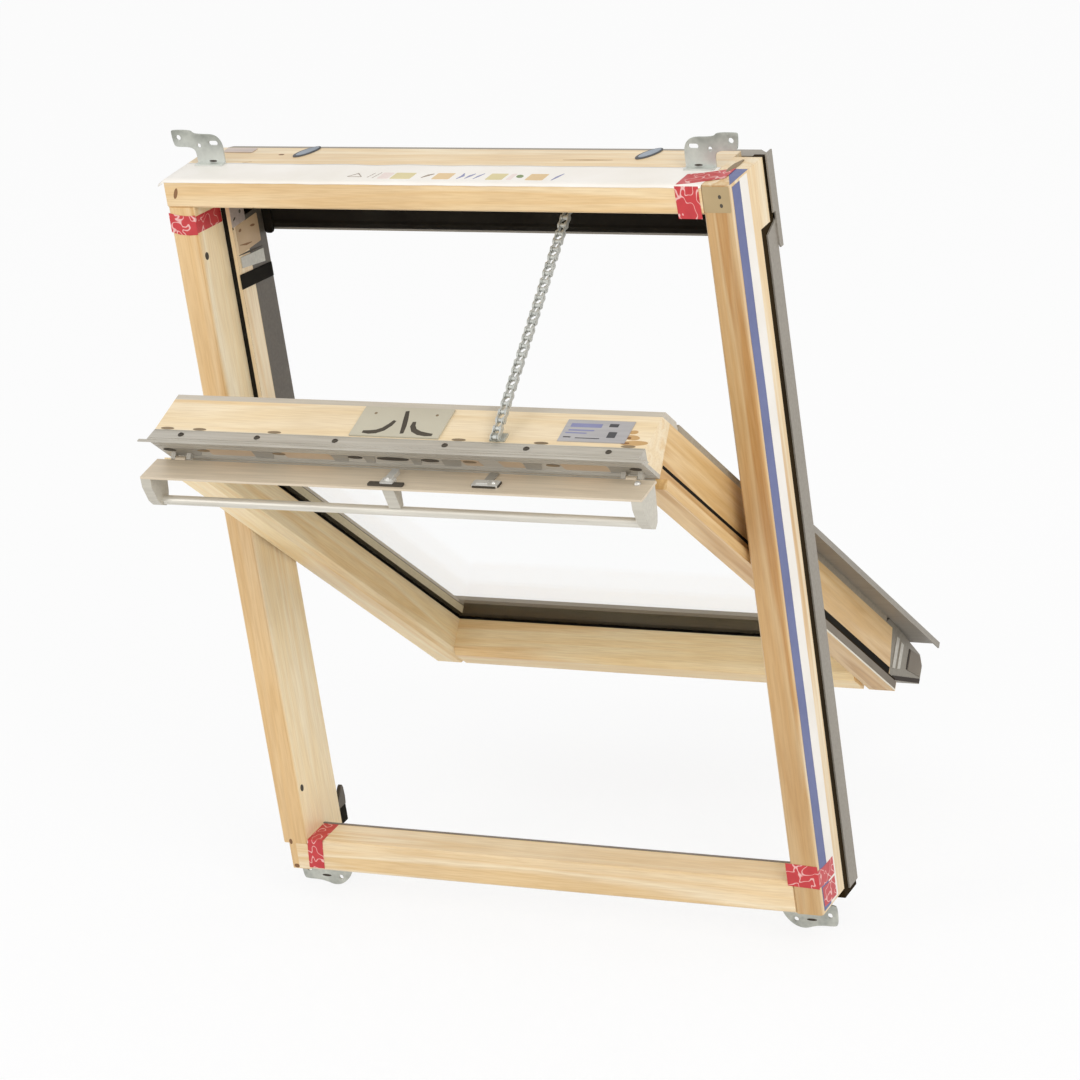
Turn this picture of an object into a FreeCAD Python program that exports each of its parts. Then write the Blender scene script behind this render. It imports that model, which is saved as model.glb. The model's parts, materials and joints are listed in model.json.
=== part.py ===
import math
import os

import FreeCAD
import Part
import Sketcher

Vector = FreeCAD.Vector
doc = FreeCAD.newDocument("CentrePivotWindow")
sheet = doc.addObject("Spreadsheet::Sheet", "Sheet")

# Driving dimensions in millimetres and degrees. X runs right seen from the room,
# Y outward through the roof, Z up the slope. The sash is given as if it were closed.
DIMENSIONS = {
    "frame_width": 780,
    "frame_height": 980,
    "member_face": 37,
    "jamb_depth": 96,
    "head_depth": 126,
    "edge_bevel": 2.5,
    "foot_notch": 9,
    "notch_height": 38,
    "sill_height": 45,
    "sill_depth": 50,
    "sill_rake": 13,
    "core_start": 75,
    "core_step": 14,
    "clad_start": 88,
    "clad_face": 116,
    "clad_sheet": 2,
    "clad_top_drop": 82,
    "ear_depth": 104,
    "stop_edge": 49.5,
    "stop_front": 66,
    "stop_above": 69,
    "stop_clad_face": 143,
    "hood_face": 149,
    "hood_low_drop": 118,
    "hood_leg_drop": 72,
    "hood_top_drop": 6,
    "hood_over": 4,
    "leg_front": 108,
    "leg_back": 126,
    "leg_step": 7,
    "leg_low_drop": 120,
    "leg_rise": 3,
    "shoulder": 24,
    "bracket_edge": -17,
    "bracket_shift": 25,
    "bracket_width": 78,
    "bracket_rise": 42,
    "bracket_drop": 56,
    "bracket_sheet": 2.5,
    "bracket_seat": 62,
    "bracket_foot": 10,
    "bracket_hole": 3.5,
    "wing_width": 25,
    "wing_low": 20,
    "wing_high": 46,
    "wing_hole": 11,
    "wing_hole_rise": 35,
    "flange_hole": 61,
    "flange_hole_rise": 28,
    "seat_place": 41,
    "pivot_y": 157,
    "pivot_rise": 13,
    "open_turn": 47.5,
    "track_half": 60,
    "rail_radius": 80,
    "rail_width": 6,
    "rail_height": 5,
    "shoe_play": 0.3,
    "shoe_jaw": 6,
    "sash_gap": 44,
    "sash_face": 45,
    "flange_back": 58,
    "body_gap": 55,
    "stile_inner": 89,
    "rebate_side": 79,
    "sash_back": 128,
    "sash_clad": 136,
    "sash_foot": 54,
    "foot_back": 72,
    "rail_low_top": 99,
    "rail_high_low_drop": 140,
    "sash_top_drop": 90,
    "ridge_y": 77,
    "ridge_z_drop": 59,
    "tip_y": 54,
    "tip_z_drop": 42,
    "vent_face": 58,
    "vent_low_drop": 112,
    "vent_back": 63,
    "vent_back_top_drop": 74,
    "glass_seat": 98,
    "pane": 4,
    "cavity": 12,
    "glass_lap": 9,
    "spacer_lap": 17,
    "bead_set": 2,
    "bead_slope": 9,
    "cover_edge": 20,
    "cover_inner": 64,
    "cover_foot": -19,
    "cover_below": 15,
    "corner_high": 105,
    "nose_low": -56,
    "nose_front": 88,
    "nose_shelf": 26,
    "nose_back": 38,
    "nose_rise": 14,
    "lock_half": 61,
    "data_near": 217,
    "data_far": 305,
    "hinge_y": 50,
    "hinge_z_drop": 93,
    "flap_angle": 49,
    "flap_reach": 49.5,
    "flap_sheet": 3,
    "flap_inset": 48,
    "knuckle": 4,
    "pin_radius": 2,
    "pin_play": 0.1,
    "knuckle_place": 74,
    "knuckle_length": 14,
    "cap_width": 14,
    "bar_y": 0.4,
    "bar_z_drop": 105,
    "bar_radius": 6,
    "chain_offset": 140,
    "chain_exit_y": 84,
    "chain_seat_y": 82,
    "chain_seat_z_drop": 53.2,
    "chain_width": 11,
    "chain_links": 30,
    "link_plate": 1.6,
    "link_end": 4.6,
    "link_waist": 3,
    "link_roller": 2.8,
}


class Dim:
    """A length that carries its number and the sheet expression behind it."""

    def __init__(self, value, text):
        self.value = value
        self.text = text

    def __add__(self, other):
        other = dim(other)
        return Dim(self.value + other.value, f"{self.text} + {other.text}")

    def __radd__(self, other):
        return dim(other) + self

    def __sub__(self, other):
        other = dim(other)
        return Dim(self.value - other.value, f"{self.text} - ({other.text})")

    def __rsub__(self, other):
        return dim(other) - self

    def __mul__(self, factor):
        factor = dim(factor)
        return Dim(self.value * factor.value, f"({self.text}) * ({factor.text})")

    def __neg__(self):
        return Dim(-self.value, f"-({self.text})")


def dim(value):
    return value if isinstance(value, Dim) else Dim(value, repr(value))


def sine(angle):
    return Dim(math.sin(math.radians(angle.value)), f"sin({angle.text})")


def cosine(angle):
    return Dim(math.cos(math.radians(angle.value)), f"cos({angle.text})")


D = {}
for row, (alias, number) in enumerate(DIMENSIONS.items(), 1):
    sheet.set(f"A{row}", alias)
    sheet.set(f"B{row}", str(number))
    sheet.setAlias(f"B{row}", alias)
    D[alias] = Dim(number, f"Sheet.{alias}")
doc.recompute()

WIDTH = D["frame_width"]
HEIGHT = D["frame_height"]
FACE = D["member_face"]
BEVEL = D["edge_bevel"]
SHEET = D["clad_sheet"]
# Heights of the upper parts, measured down from the top edge of the frame.
FROM_TOP = (
    "clad_top",
    "hood_low",
    "hood_leg",
    "hood_top",
    "rail_high_low",
    "sash_top",
    "ridge_z",
    "tip_z",
    "vent_low",
    "vent_back_top",
    "hinge_z",
    "bar_z",
    "chain_seat_z",
)
for name in FROM_TOP:
    D[name] = HEIGHT - D[name + "_drop"]
D["pivot_z"] = HEIGHT * 0.5 + D["pivot_rise"]
D["stop_foot"] = D["pivot_z"] + D["stop_above"]
D["cover_top"] = D["pivot_z"] - D["cover_below"]
D["chain_x"] = WIDTH * 0.5 + D["chain_offset"]
SEAT = D["bracket_seat"]
ORIGIN_X = D["bracket_edge"] + D["seat_place"]
ORIGIN_Z = -D["flange_hole_rise"]
ORIGIN = f"vector(-({ORIGIN_X.text}); -({SEAT.text}); -({ORIGIN_Z.text}))"
FIXED = f"placement({ORIGIN}; rotation(vector(1; 0; 0); 0))"
PIVOT = f"vector(0; {D['pivot_y'].text}; {D['pivot_z'].text})"
OPENED = f"placement({ORIGIN}; rotation(vector(1; 0; 0); {D['open_turn'].text}); {PIVOT})"

nodes = []


def new_body(label, placement):
    body = doc.addObject("PartDesign::Body", label)
    body.Label = label
    body.setExpression("Placement", placement)
    nodes.append(body)
    return body


def new_sketch(body, role, start):
    """A sketch on one of the body's own planes, set off along the plane's normal."""
    sketch = body.newObject("Sketcher::SketchObject", body.Name + "_sketch")
    plane = [item for item in body.Origin.OriginFeatures if item.Role == role][0]
    sketch.AttachmentSupport = [(plane, "")]
    sketch.MapMode = "FlatFace"
    start = dim(start)
    sketch.AttachmentOffset = FreeCAD.Placement(Vector(0, 0, start.value), FreeCAD.Rotation())
    sketch.setExpression("AttachmentOffset.Base.z", start.text)
    return sketch


def bind(sketch, kind, index, point, value):
    value = dim(value)
    number = sketch.addConstraint(Sketcher.Constraint(kind, -1, 1, index, point, value.value))
    sketch.setExpression(f"Constraints[{number}]", value.text)


def draw_loop(sketch, points):
    first = sketch.GeometryCount
    count = len(points)
    corners = [Vector(dim(x).value, dim(y).value, 0) for x, y in points]
    for i in range(count):
        sketch.addGeometry(Part.LineSegment(corners[i], corners[(i + 1) % count]), False)
    for i in range(count):
        following = first + (i + 1) % count
        sketch.addConstraint(Sketcher.Constraint("Coincident", first + i, 2, following, 1))
    for i, (x, y) in enumerate(points):
        bind(sketch, "DistanceX", first + i, 1, x)
        bind(sketch, "DistanceY", first + i, 1, y)


def draw_circle(sketch, x, y, radius):
    centre = Vector(dim(x).value, dim(y).value, 0)
    radius = dim(radius)
    index = sketch.addGeometry(Part.Circle(centre, Vector(0, 0, 1), radius.value), False)
    bind(sketch, "DistanceX", index, 3, x)
    bind(sketch, "DistanceY", index, 3, y)
    number = sketch.addConstraint(Sketcher.Constraint("Radius", index, radius.value))
    sketch.setExpression(f"Constraints[{number}]", radius.text)


def extrude(body, sketch, length, backward=False, cut=False):
    kind = "PartDesign::Pocket" if cut else "PartDesign::Pad"
    feature = body.newObject(kind, body.Name + ("_cut" if cut else "_pad"))
    feature.Profile = sketch
    length = dim(length)
    feature.Length = length.value
    feature.setExpression("Length", length.text)
    feature.Reversed = backward
    sketch.Visibility = False
    doc.recompute()
    return feature


def along_x(body, loops, start, end):
    """A prism along X from profiles in Y and Z."""
    sketch = new_sketch(body, "YZ_Plane", start)
    for loop in loops:
        draw_loop(sketch, loop)
    return extrude(body, sketch, dim(end) - dim(start))


def along_z(body, loops, start, end):
    """A prism along Z from profiles in X and Y."""
    sketch = new_sketch(body, "XY_Plane", start)
    for loop in loops:
        draw_loop(sketch, loop)
    return extrude(body, sketch, dim(end) - dim(start))


def along_y(body, loops, start, end, circles=()):
    """A prism along Y from profiles in X and Z."""
    sketch = new_sketch(body, "XZ_Plane", -dim(start))
    for loop in loops:
        draw_loop(sketch, loop)
    for circle in circles:
        draw_circle(sketch, *circle)
    return extrude(body, sketch, dim(end) - dim(start), backward=True)


def box_loop(low_x, low_y, high_x, high_y):
    return [(low_x, low_y), (high_x, low_y), (high_x, high_y), (low_x, high_y)]


def side_loop(side, points):
    """Profile points measured from the left edge, mirrored for the right side."""
    if side == "left":
        return points
    return [(WIDTH - dim(x), y) for x, y in points]


def span(side, low, high):
    if side == "left":
        return low, high
    return WIDTH - dim(high), WIDTH - dim(low)


SIDES = ("left", "right")
HEAD_LOW = HEIGHT - FACE
JAMB_TOPS = {"left": HEAD_LOW, "right": HEIGHT}

# Timber frame: the head laps over the left jamb, the right jamb runs to the top.
for side in SIDES:
    jamb = new_body(f"frame_{side}_jamb", FIXED)
    profile = [
        (BEVEL, 0),
        (FACE - BEVEL, 0),
        (FACE, BEVEL),
        (FACE, D["jamb_depth"]),
        (D["core_step"], D["jamb_depth"]),
        (D["core_step"], D["core_start"]),
        (0, D["core_start"]),
        (0, BEVEL),
    ]
    along_z(jamb, [side_loop(side, profile)], 0, JAMB_TOPS[side])
    ear = box_loop(0, D["core_start"], FACE, D["ear_depth"])
    along_z(jamb, [side_loop(side, ear)], D["clad_top"], JAMB_TOPS[side])
    if side == "left":
        notch = new_sketch(jamb, "XY_Plane", 0)
        draw_loop(notch, box_loop(-1, -1, D["foot_notch"], D["core_start"] + 1))
        extrude(jamb, notch, D["notch_height"], backward=True, cut=True)

head = new_body("frame_head", FIXED)
head_profile = [
    (0, HEAD_LOW + BEVEL),
    (BEVEL, HEAD_LOW),
    (D["head_depth"], HEAD_LOW),
    (D["head_depth"], HEIGHT),
    (BEVEL, HEIGHT),
    (0, HEIGHT - BEVEL),
]
along_x(head, [head_profile], 0, WIDTH - FACE)

sill = new_body("frame_sill", FIXED)
sill_profile = [
    (0, BEVEL),
    (BEVEL, 0),
    (D["sill_depth"] + D["sill_rake"], 0),
    (D["sill_depth"], D["sill_height"]),
    (BEVEL, D["sill_height"]),
    (0, D["sill_height"] - BEVEL),
]
along_x(sill, [sill_profile], FACE, WIDTH - FACE)

# Black sealing strip on the rear edge of the sill.
seal = new_body("sill_gasket", FIXED)
SEAL_SHARE = 0.23
seal_foot = (D["sill_depth"] + D["sill_rake"] * SEAL_SHARE, D["sill_height"] * (1 - SEAL_SHARE))
seal_profile = [
    (D["sill_depth"], D["sill_height"]),
    seal_foot,
    (seal_foot[0] + 1.5, seal_foot[1] + 2.4),
    (D["sill_depth"] + 2, D["sill_height"] + 0.6),
    (D["sill_depth"] - 2, D["sill_height"] + 0.6),
    (D["sill_depth"] - 2, D["sill_height"]),
]
along_x(seal, [seal_profile], FACE, WIDTH - FACE)

for side in SIDES:
    # Black core between jamb and cladding, then the cladding channel over it.
    core = new_body(f"{side}_jamb_core", FIXED)
    profile = [
        (0, D["core_start"]),
        (D["core_step"], D["core_start"]),
        (D["core_step"], D["jamb_depth"]),
        (FACE - 7, D["jamb_depth"]),
        (D["cover_edge"], D["clad_face"] - SHEET),
        (0, D["clad_face"] - SHEET),
    ]
    along_z(core, [side_loop(side, profile)], -14, D["clad_top"])
    upper_core = box_loop(0, D["ear_depth"], D["core_step"], D["clad_face"] - SHEET)
    along_z(core, [side_loop(side, upper_core)], D["clad_top"], JAMB_TOPS[side])

    cladding = new_body(f"{side}_jamb_cladding", FIXED)
    profile = [
        (-SHEET, D["clad_start"]),
        (0, D["clad_start"]),
        (0, D["clad_face"] - SHEET),
        (D["cover_edge"] + SHEET, D["clad_face"] - SHEET),
        (D["cover_edge"] + SHEET, D["clad_face"]),
        (-SHEET, D["clad_face"]),
    ]
    along_z(cladding, [side_loop(side, profile)], -6, D["clad_top"])
    slant = new_sketch(cladding, "YZ_Plane", -10)
    slant_loop = [
        (D["clad_start"] - 2, D["clad_top"] - 13),
        (D["clad_face"] + 2, D["clad_top"]),
        (D["clad_face"] + 2, D["clad_top"] + 5),
        (D["clad_start"] - 2, D["clad_top"] + 5),
    ]
    draw_loop(slant, slant_loop)
    extrude(cladding, slant, WIDTH + 20, backward=True, cut=True)

    # Upper half: timber stop, its black seal and the dark cladding outside it.
    stop = new_body(f"{side}_upper_stop", FIXED)
    profile = box_loop(FACE, D["stop_front"], D["stop_edge"], D["jamb_depth"])
    along_z(stop, [side_loop(side, profile)], D["stop_foot"], HEAD_LOW)

    strip = new_body(f"{side}_stop_gasket", FIXED)
    profile = box_loop(FACE, D["stop_front"] - 2.5, D["stop_edge"], D["stop_front"])
    along_z(strip, [side_loop(side, profile)], D["stop_foot"], HEAD_LOW)

    trim = new_body(f"{side}_stop_cladding", FIXED)
    profile = [
        (D["cover_edge"], D["clad_face"]),
        (D["cover_edge"] + SHEET, D["clad_face"]),
        (D["cover_edge"] + SHEET, D["stop_clad_face"] - SHEET),
        (D["stop_edge"] - SHEET, D["stop_clad_face"] - SHEET),
        (D["stop_edge"] - SHEET, D["jamb_depth"]),
        (D["stop_edge"], D["jamb_depth"]),
        (D["stop_edge"], D["stop_clad_face"]),
        (D["cover_edge"], D["stop_clad_face"]),
    ]
    along_z(trim, [side_loop(side, profile)], D["stop_foot"], D["clad_top"])

# Grey corner pieces behind the feet of the jambs.
for side in SIDES:
    corner = new_body(f"{side}_foot_corner", FIXED)
    corner_loop = [
        (D["jamb_depth"], D["sill_height"] - 15),
        (D["clad_face"], D["sill_height"] - 15),
        (D["clad_face"], D["corner_high"] - 40),
        (D["jamb_depth"] + 4, D["corner_high"]),
        (D["jamb_depth"], D["corner_high"]),
    ]
    along_x(corner, [corner_loop], *span(side, FACE - 6, FACE))

# Hood: outer face and top leg, sloped shoulders and stepped side legs, lined with black foam.
hood = new_body("head_hood", FIXED)
hood_left = -D["hood_over"]
hood_right = WIDTH + D["hood_over"]
hood_under = D["hood_top"] - SHEET
hood_profile = [
    (D["head_depth"], hood_under),
    (D["hood_face"] - SHEET, hood_under),
    (D["hood_face"] - SHEET, D["hood_low"]),
    (D["hood_face"], D["hood_low"]),
    (D["hood_face"], D["hood_top"]),
    (D["head_depth"], D["hood_top"]),
]
shoulder_left = hood_left + D["shoulder"]
shoulder_right = hood_right - D["shoulder"]
along_x(hood, [hood_profile], shoulder_left, shoulder_right)
leg_low = HEIGHT - D["leg_low_drop"]
leg_profile = [
    (D["leg_front"], D["hood_leg"]),
    (D["leg_front"] + D["leg_step"], D["hood_leg"]),
    (D["leg_front"] + D["leg_step"], leg_low + 6),
    (D["leg_front"] + D["leg_step"] + 3, leg_low),
    (D["leg_back"], leg_low),
    (D["leg_back"], HEIGHT + D["leg_rise"]),
    (D["leg_front"], HEIGHT + D["leg_rise"]),
]
for side in SIDES:
    edge = -D["hood_over"]
    bend = edge + D["shoulder"]
    along_x(hood, [leg_profile], *span(side, edge, edge + SHEET))
    shoulder_loop = [
        (edge, D["leg_back"]),
        (edge + SHEET, D["leg_back"]),
        (bend, D["hood_face"] - SHEET),
        (bend, D["hood_face"]),
    ]
    along_z(hood, [side_loop(side, shoulder_loop)], D["hood_low"], D["hood_top"])
    corner_loop = [(edge, D["leg_back"]), (bend, D["leg_back"]), (bend, D["hood_face"])]
    along_z(hood, [side_loop(side, corner_loop)], hood_under, D["hood_top"])

# Lining with a sealing rib and a bulb along its lower edge, between the stops.
lining = new_body("hood_lining", FIXED)
lining_front = D["stop_clad_face"] + 0.5
lining_low = D["hood_low"] + 4
lining_loop = box_loop(lining_front, lining_low, D["hood_face"] - SHEET, hood_under)
along_x(lining, [lining_loop], shoulder_left, shoulder_right)
bulb_loop = [
    (lining_front, lining_low),
    (lining_front, lining_low + 10),
    (lining_front - 2.5, lining_low + 7),
    (lining_front - 2.5, lining_low + 2),
]
rib_loop = [
    (lining_front, lining_low + 27),
    (lining_front, lining_low + 33),
    (lining_front - 2, lining_low + 31),
    (lining_front - 2, lining_low + 29),
]
for loop in (bulb_loop, rib_loop):
    along_x(lining, [loop], D["body_gap"], WIDTH - D["body_gap"])

# Fixing brackets: a foot on the frame, a rounded flange in the roof's plane and an outer wing.
sheet_steel = D["bracket_sheet"]
EDGE = D["bracket_edge"]
BRACKET_MIRROR = WIDTH - D["bracket_shift"]
WING = EDGE + D["wing_width"]
FLANGE = EDGE + D["bracket_width"]


def bracket_point(side, level, x, offset):
    """A point of the left bracket, moved to its side and to the head or the sill."""
    place = dim(x) if side == "left" else BRACKET_MIRROR - dim(x)
    return place, HEIGHT + offset if level == "upper" else -dim(offset)


for side in SIDES:
    for level in ("upper", "lower"):
        bracket = new_body(f"{level}_{side}_bracket", FIXED)
        rise = D["bracket_rise"] if level == "upper" else D["bracket_drop"]
        outline = [
            (WING, 0),
            (WING, D["wing_low"]),
            (EDGE + 2, D["wing_low"]),
            (EDGE, D["wing_low"] + 2),
            (EDGE, D["wing_high"] - 2),
            (EDGE + 2, D["wing_high"]),
            (WING, D["wing_high"]),
            (WING + 6, rise),
            (FLANGE - 22, rise),
            (FLANGE - 8, rise - 7),
            (FLANGE - 2, rise - 16),
            (FLANGE, rise - 26),
            (FLANGE, 0),
        ]
        loop = [bracket_point(side, level, x, offset) for x, offset in outline]
        wing_hole = bracket_point(side, level, EDGE + D["wing_hole"], D["wing_hole_rise"])
        flange_hole = bracket_point(side, level, EDGE + D["flange_hole"], D["flange_hole_rise"])
        holes = [(*wing_hole, D["bracket_hole"]), (*flange_hole, D["bracket_hole"])]
        along_y(bracket, [loop], SEAT, SEAT + sheet_steel, holes)
        near, base = bracket_point(side, level, WING, 0)
        far, foot = bracket_point(side, level, FLANGE, sheet_steel)
        foot_loop = box_loop(SEAT - D["bracket_foot"], base, SEAT + sheet_steel, foot)
        ends = (near, far) if side == "left" else (far, near)
        along_x(bracket, [foot_loop], *ends)


def rail_arc(body, start, end, inner, outer, low_angle, high_angle):
    """A ring segment about the pivot axis, along X, angles from -Y towards +Z."""
    sketch = new_sketch(body, "YZ_Plane", start)
    centre = Vector(D["pivot_y"].value, D["pivot_z"].value, 0)
    axis = Vector(0, 0, 1)
    angles = (180 - high_angle, 180 - low_angle)
    radians = [math.radians(angle) for angle in angles]
    ends = []
    for radius in (inner, outer):
        radius = dim(radius)
        circle = Part.Circle(centre, axis, radius.value)
        index = sketch.addGeometry(Part.ArcOfCircle(circle, *radians), False)
        number = sketch.addConstraint(Sketcher.Constraint("Radius", index, radius.value))
        sketch.setExpression(f"Constraints[{number}]", radius.text)
        arc = sketch.Geometry[index]
        ends.append((index, arc.StartPoint, arc.EndPoint))
    (near, near_low, near_high), (far, far_low, far_high) = ends
    low_side = sketch.addGeometry(Part.LineSegment(near_low, far_low), False)
    high_side = sketch.addGeometry(Part.LineSegment(near_high, far_high), False)
    for line, point in ((low_side, 1), (high_side, 2)):
        sketch.addConstraint(Sketcher.Constraint("Coincident", line, 1, near, point))
        sketch.addConstraint(Sketcher.Constraint("Coincident", line, 2, far, point))
    bind(sketch, "DistanceX", near, 3, D["pivot_y"])
    bind(sketch, "DistanceY", near, 3, D["pivot_z"])
    sketch.addConstraint(Sketcher.Constraint("Coincident", near, 3, far, 3))
    for line, angle in zip((low_side, high_side), radians):
        sketch.addConstraint(Sketcher.Constraint("PointOnObject", near, 3, line))
        sketch.addConstraint(Sketcher.Constraint("Angle", line, angle))
    return extrude(body, sketch, dim(end) - dim(start))


# Arc-track pivot: a curved rail on each jamb and a grooved shoe on each stile.
PLATE = dim(1.5)
rail_in = D["rail_radius"] - D["rail_width"] * 0.5
rail_out = D["rail_radius"] + D["rail_width"] * 0.5
groove_in = rail_in - D["shoe_play"]
groove_out = rail_out + D["shoe_play"]
RAIL_TOP = FACE + PLATE + D["rail_height"]
for side in SIDES:
    track = new_body(f"{side}_hinge_track", FIXED)
    plate_low = D["pivot_z"] - D["track_half"]
    plate_high = D["pivot_z"] + D["track_half"]
    plate_front = D["pivot_y"] - 90
    plate_loop = box_loop(plate_front, plate_low, D["jamb_depth"], plate_high)
    along_x(track, [plate_loop], *span(side, FACE, FACE + PLATE))
    rail_arc(track, *span(side, FACE + PLATE, RAIL_TOP), rail_in, rail_out, -38, 38)

    shoe = new_body(f"{side}_hinge_shoe", OPENED)
    web = span(side, RAIL_TOP + 0.5, D["body_gap"])
    jaws = span(side, FACE + PLATE + 0.7, RAIL_TOP + 0.5)
    rail_arc(shoe, *web, groove_in - D["shoe_jaw"], groove_out + D["shoe_jaw"], 16, 34)
    rail_arc(shoe, *jaws, groove_in - D["shoe_jaw"], groove_in, 16, 34)
    rail_arc(shoe, *jaws, groove_out, groove_out + D["shoe_jaw"], 16, 34)

# Chain drive: exit plate under the head and the push chain run out to the sash.
exit_plate = new_body("chain_exit_plate", FIXED)
plate_loop = box_loop(D["chain_exit_y"] - 13, HEAD_LOW - 3, D["chain_exit_y"] + 13, HEAD_LOW)
along_x(exit_plate, [plate_loop], D["chain_x"] - 14, D["chain_x"] + 14)

# The chain is one link of two waisted plates and a roller, repeated along its run.
turn = D["open_turn"]
arm_y = D["chain_seat_y"] - D["pivot_y"]
arm_z = D["chain_seat_z"] - D["pivot_z"]
end_y = D["pivot_y"] + arm_y * cosine(turn) - arm_z * sine(turn)
end_z = D["pivot_z"] + arm_y * sine(turn) + arm_z * cosine(turn)
run_y = D["chain_exit_y"] - end_y
run_z = HEAD_LOW - 5.8 - end_z
run = Dim(math.hypot(run_y.value, run_z.value), f"sqrt(({run_y.text})^2 + ({run_z.text})^2)")
links = D["chain_links"]
pitch = Dim(run.value / links.value, f"({run.text}) / {links.text}")
chain_base = (D["chain_x"] - ORIGIN_X, end_y - SEAT, end_z - ORIGIN_Z)
base_text = "; ".join(part.text for part in chain_base)
lean = f"-atan2({run_y.text}; {run_z.text})"
chain = new_body(
    "drive_chain", f"placement(vector({base_text}); rotation(vector(1; 0; 0); {lean}))"
)
end_half = D["link_end"]
waist = D["link_waist"]
link_loop = [
    (-end_half, pitch * 0.5 - 2),
    (-end_half, pitch * 0.5 + 2),
    (-waist, pitch),
    (waist, pitch),
    (end_half, pitch * 0.5 + 2),
    (end_half, pitch * 0.5 - 2),
    (waist, 0),
    (-waist, 0),
]
half_chain = D["chain_width"] * 0.5
plates = [
    along_x(chain, [link_loop], -half_chain, D["link_plate"] - half_chain),
    along_x(chain, [link_loop], half_chain - D["link_plate"], half_chain),
]
roller = new_sketch(chain, "YZ_Plane", -half_chain)
draw_circle(roller, 0, pitch * 0.5, D["link_roller"])
plates.append(extrude(chain, roller, D["chain_width"]))
row_of_links = chain.newObject("PartDesign::LinearPattern", "drive_chain_links")
row_of_links.Originals = plates
row_of_links.Direction = (roller, ["V_Axis"])
row_of_links.Length = pitch.value * (links.value - 1)
row_of_links.setExpression("Length", (pitch * (links - 1)).text)
row_of_links.Occurrences = links.value
row_of_links.setExpression("Occurrences", links.text)
chain.Tip = row_of_links
doc.recompute()

# Sash, drawn closed: stiles with flange and glass rebate between two rails.
SASH_LEFT = D["sash_gap"]
SASH_RIGHT = WIDTH - D["sash_gap"]
REBATE = D["glass_seat"] - 2
for side in SIDES:
    stile = new_body(f"sash_{side}_stile", OPENED)
    profile = [
        (D["sash_gap"], D["sash_face"]),
        (D["stile_inner"] - 8, D["sash_face"]),
        (D["stile_inner"], D["sash_face"] + 8),
        (D["stile_inner"], REBATE),
        (D["rebate_side"], REBATE),
        (D["rebate_side"], D["sash_back"]),
        (D["body_gap"], D["sash_back"]),
        (D["body_gap"], D["flange_back"]),
        (D["sash_gap"], D["flange_back"]),
    ]
    along_z(stile, [side_loop(side, profile)], D["sash_foot"], D["vent_low"])
    wedge = new_sketch(stile, "YZ_Plane", 0)
    wedge_loop = [
        (D["sash_face"] + 15, D["sash_foot"] - 5),
        (D["sash_back"] + 5, D["sash_foot"] - 5),
        (D["sash_back"] + 5, D["foot_back"] + 1.5),
        (D["sash_face"] + 15, D["sash_foot"]),
    ]
    draw_loop(wedge, wedge_loop)
    extrude(stile, wedge, WIDTH, backward=True, cut=True)

lower_rail = new_body("sash_bottom_rail", OPENED)
lower_profile = [
    (D["sash_face"], D["sash_foot"]),
    (D["sash_face"] + 15, D["sash_foot"]),
    (D["sash_back"], D["foot_back"]),
    (D["sash_back"], D["rail_low_top"] - 10),
    (REBATE, D["rail_low_top"] - 10),
    (REBATE, D["rail_low_top"]),
    (D["sash_face"] + 8, D["rail_low_top"]),
    (D["sash_face"], D["rail_low_top"] - 8),
]
along_x(lower_rail, [lower_profile], D["stile_inner"], WIDTH - D["stile_inner"])

upper_rail = new_body("sash_top_rail", OPENED)
upper_profile = [
    (D["sash_face"], D["rail_high_low"] + 8),
    (D["sash_face"] + 8, D["rail_high_low"]),
    (REBATE, D["rail_high_low"]),
    (REBATE, D["rail_high_low"] + 10),
    (D["sash_back"], D["rail_high_low"] + 10),
    (D["sash_back"], D["vent_low"]),
    (D["sash_face"], D["vent_low"]),
]
along_x(upper_rail, [upper_profile], D["stile_inner"], WIDTH - D["stile_inner"])
slope_profile = [
    (D["vent_back"], D["vent_low"]),
    (D["sash_back"], D["vent_low"]),
    (D["sash_back"], D["sash_top"]),
    (D["ridge_y"], D["ridge_z"]),
    (D["vent_back"], D["vent_back_top"]),
]
along_x(upper_rail, [slope_profile], D["body_gap"], WIDTH - D["body_gap"])

# Black bead behind the flange of the lower half, which meets the jamb's edge.
for side in SIDES:
    bead = new_body(f"{side}_sash_gasket", OPENED)
    profile = box_loop(D["sash_gap"] + 1, D["flange_back"], D["body_gap"], D["flange_back"] + 3)
    along_z(bead, [side_loop(side, profile)], D["sash_foot"] + 4, D["cover_top"] - 55)

vent = new_body("vent_profile", OPENED)
vent_profile = [
    (D["vent_face"], D["vent_low"]),
    (D["vent_face"], D["tip_z"] - 12),
    (D["tip_y"], D["tip_z"] - 1),
    (D["tip_y"] + 1, D["tip_z"]),
    (D["ridge_y"], D["ridge_z"]),
    (D["vent_back"], D["vent_back_top"]),
    (D["vent_back"], D["vent_low"]),
]
along_x(vent, [vent_profile], D["body_gap"], WIDTH - D["body_gap"])
lip_profile = [
    (D["vent_face"], D["tip_z"] - 12),
    (D["tip_y"], D["tip_z"] - 1),
    (D["tip_y"] + 1, D["tip_z"]),
    (D["vent_face"] + 0.4, D["tip_z"] - 2.7),
]
along_x(vent, [lip_profile], SASH_LEFT, SASH_RIGHT)


def knuckle_span(side):
    return span(side, D["knuckle_place"], D["knuckle_place"] + D["knuckle_length"])


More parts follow.
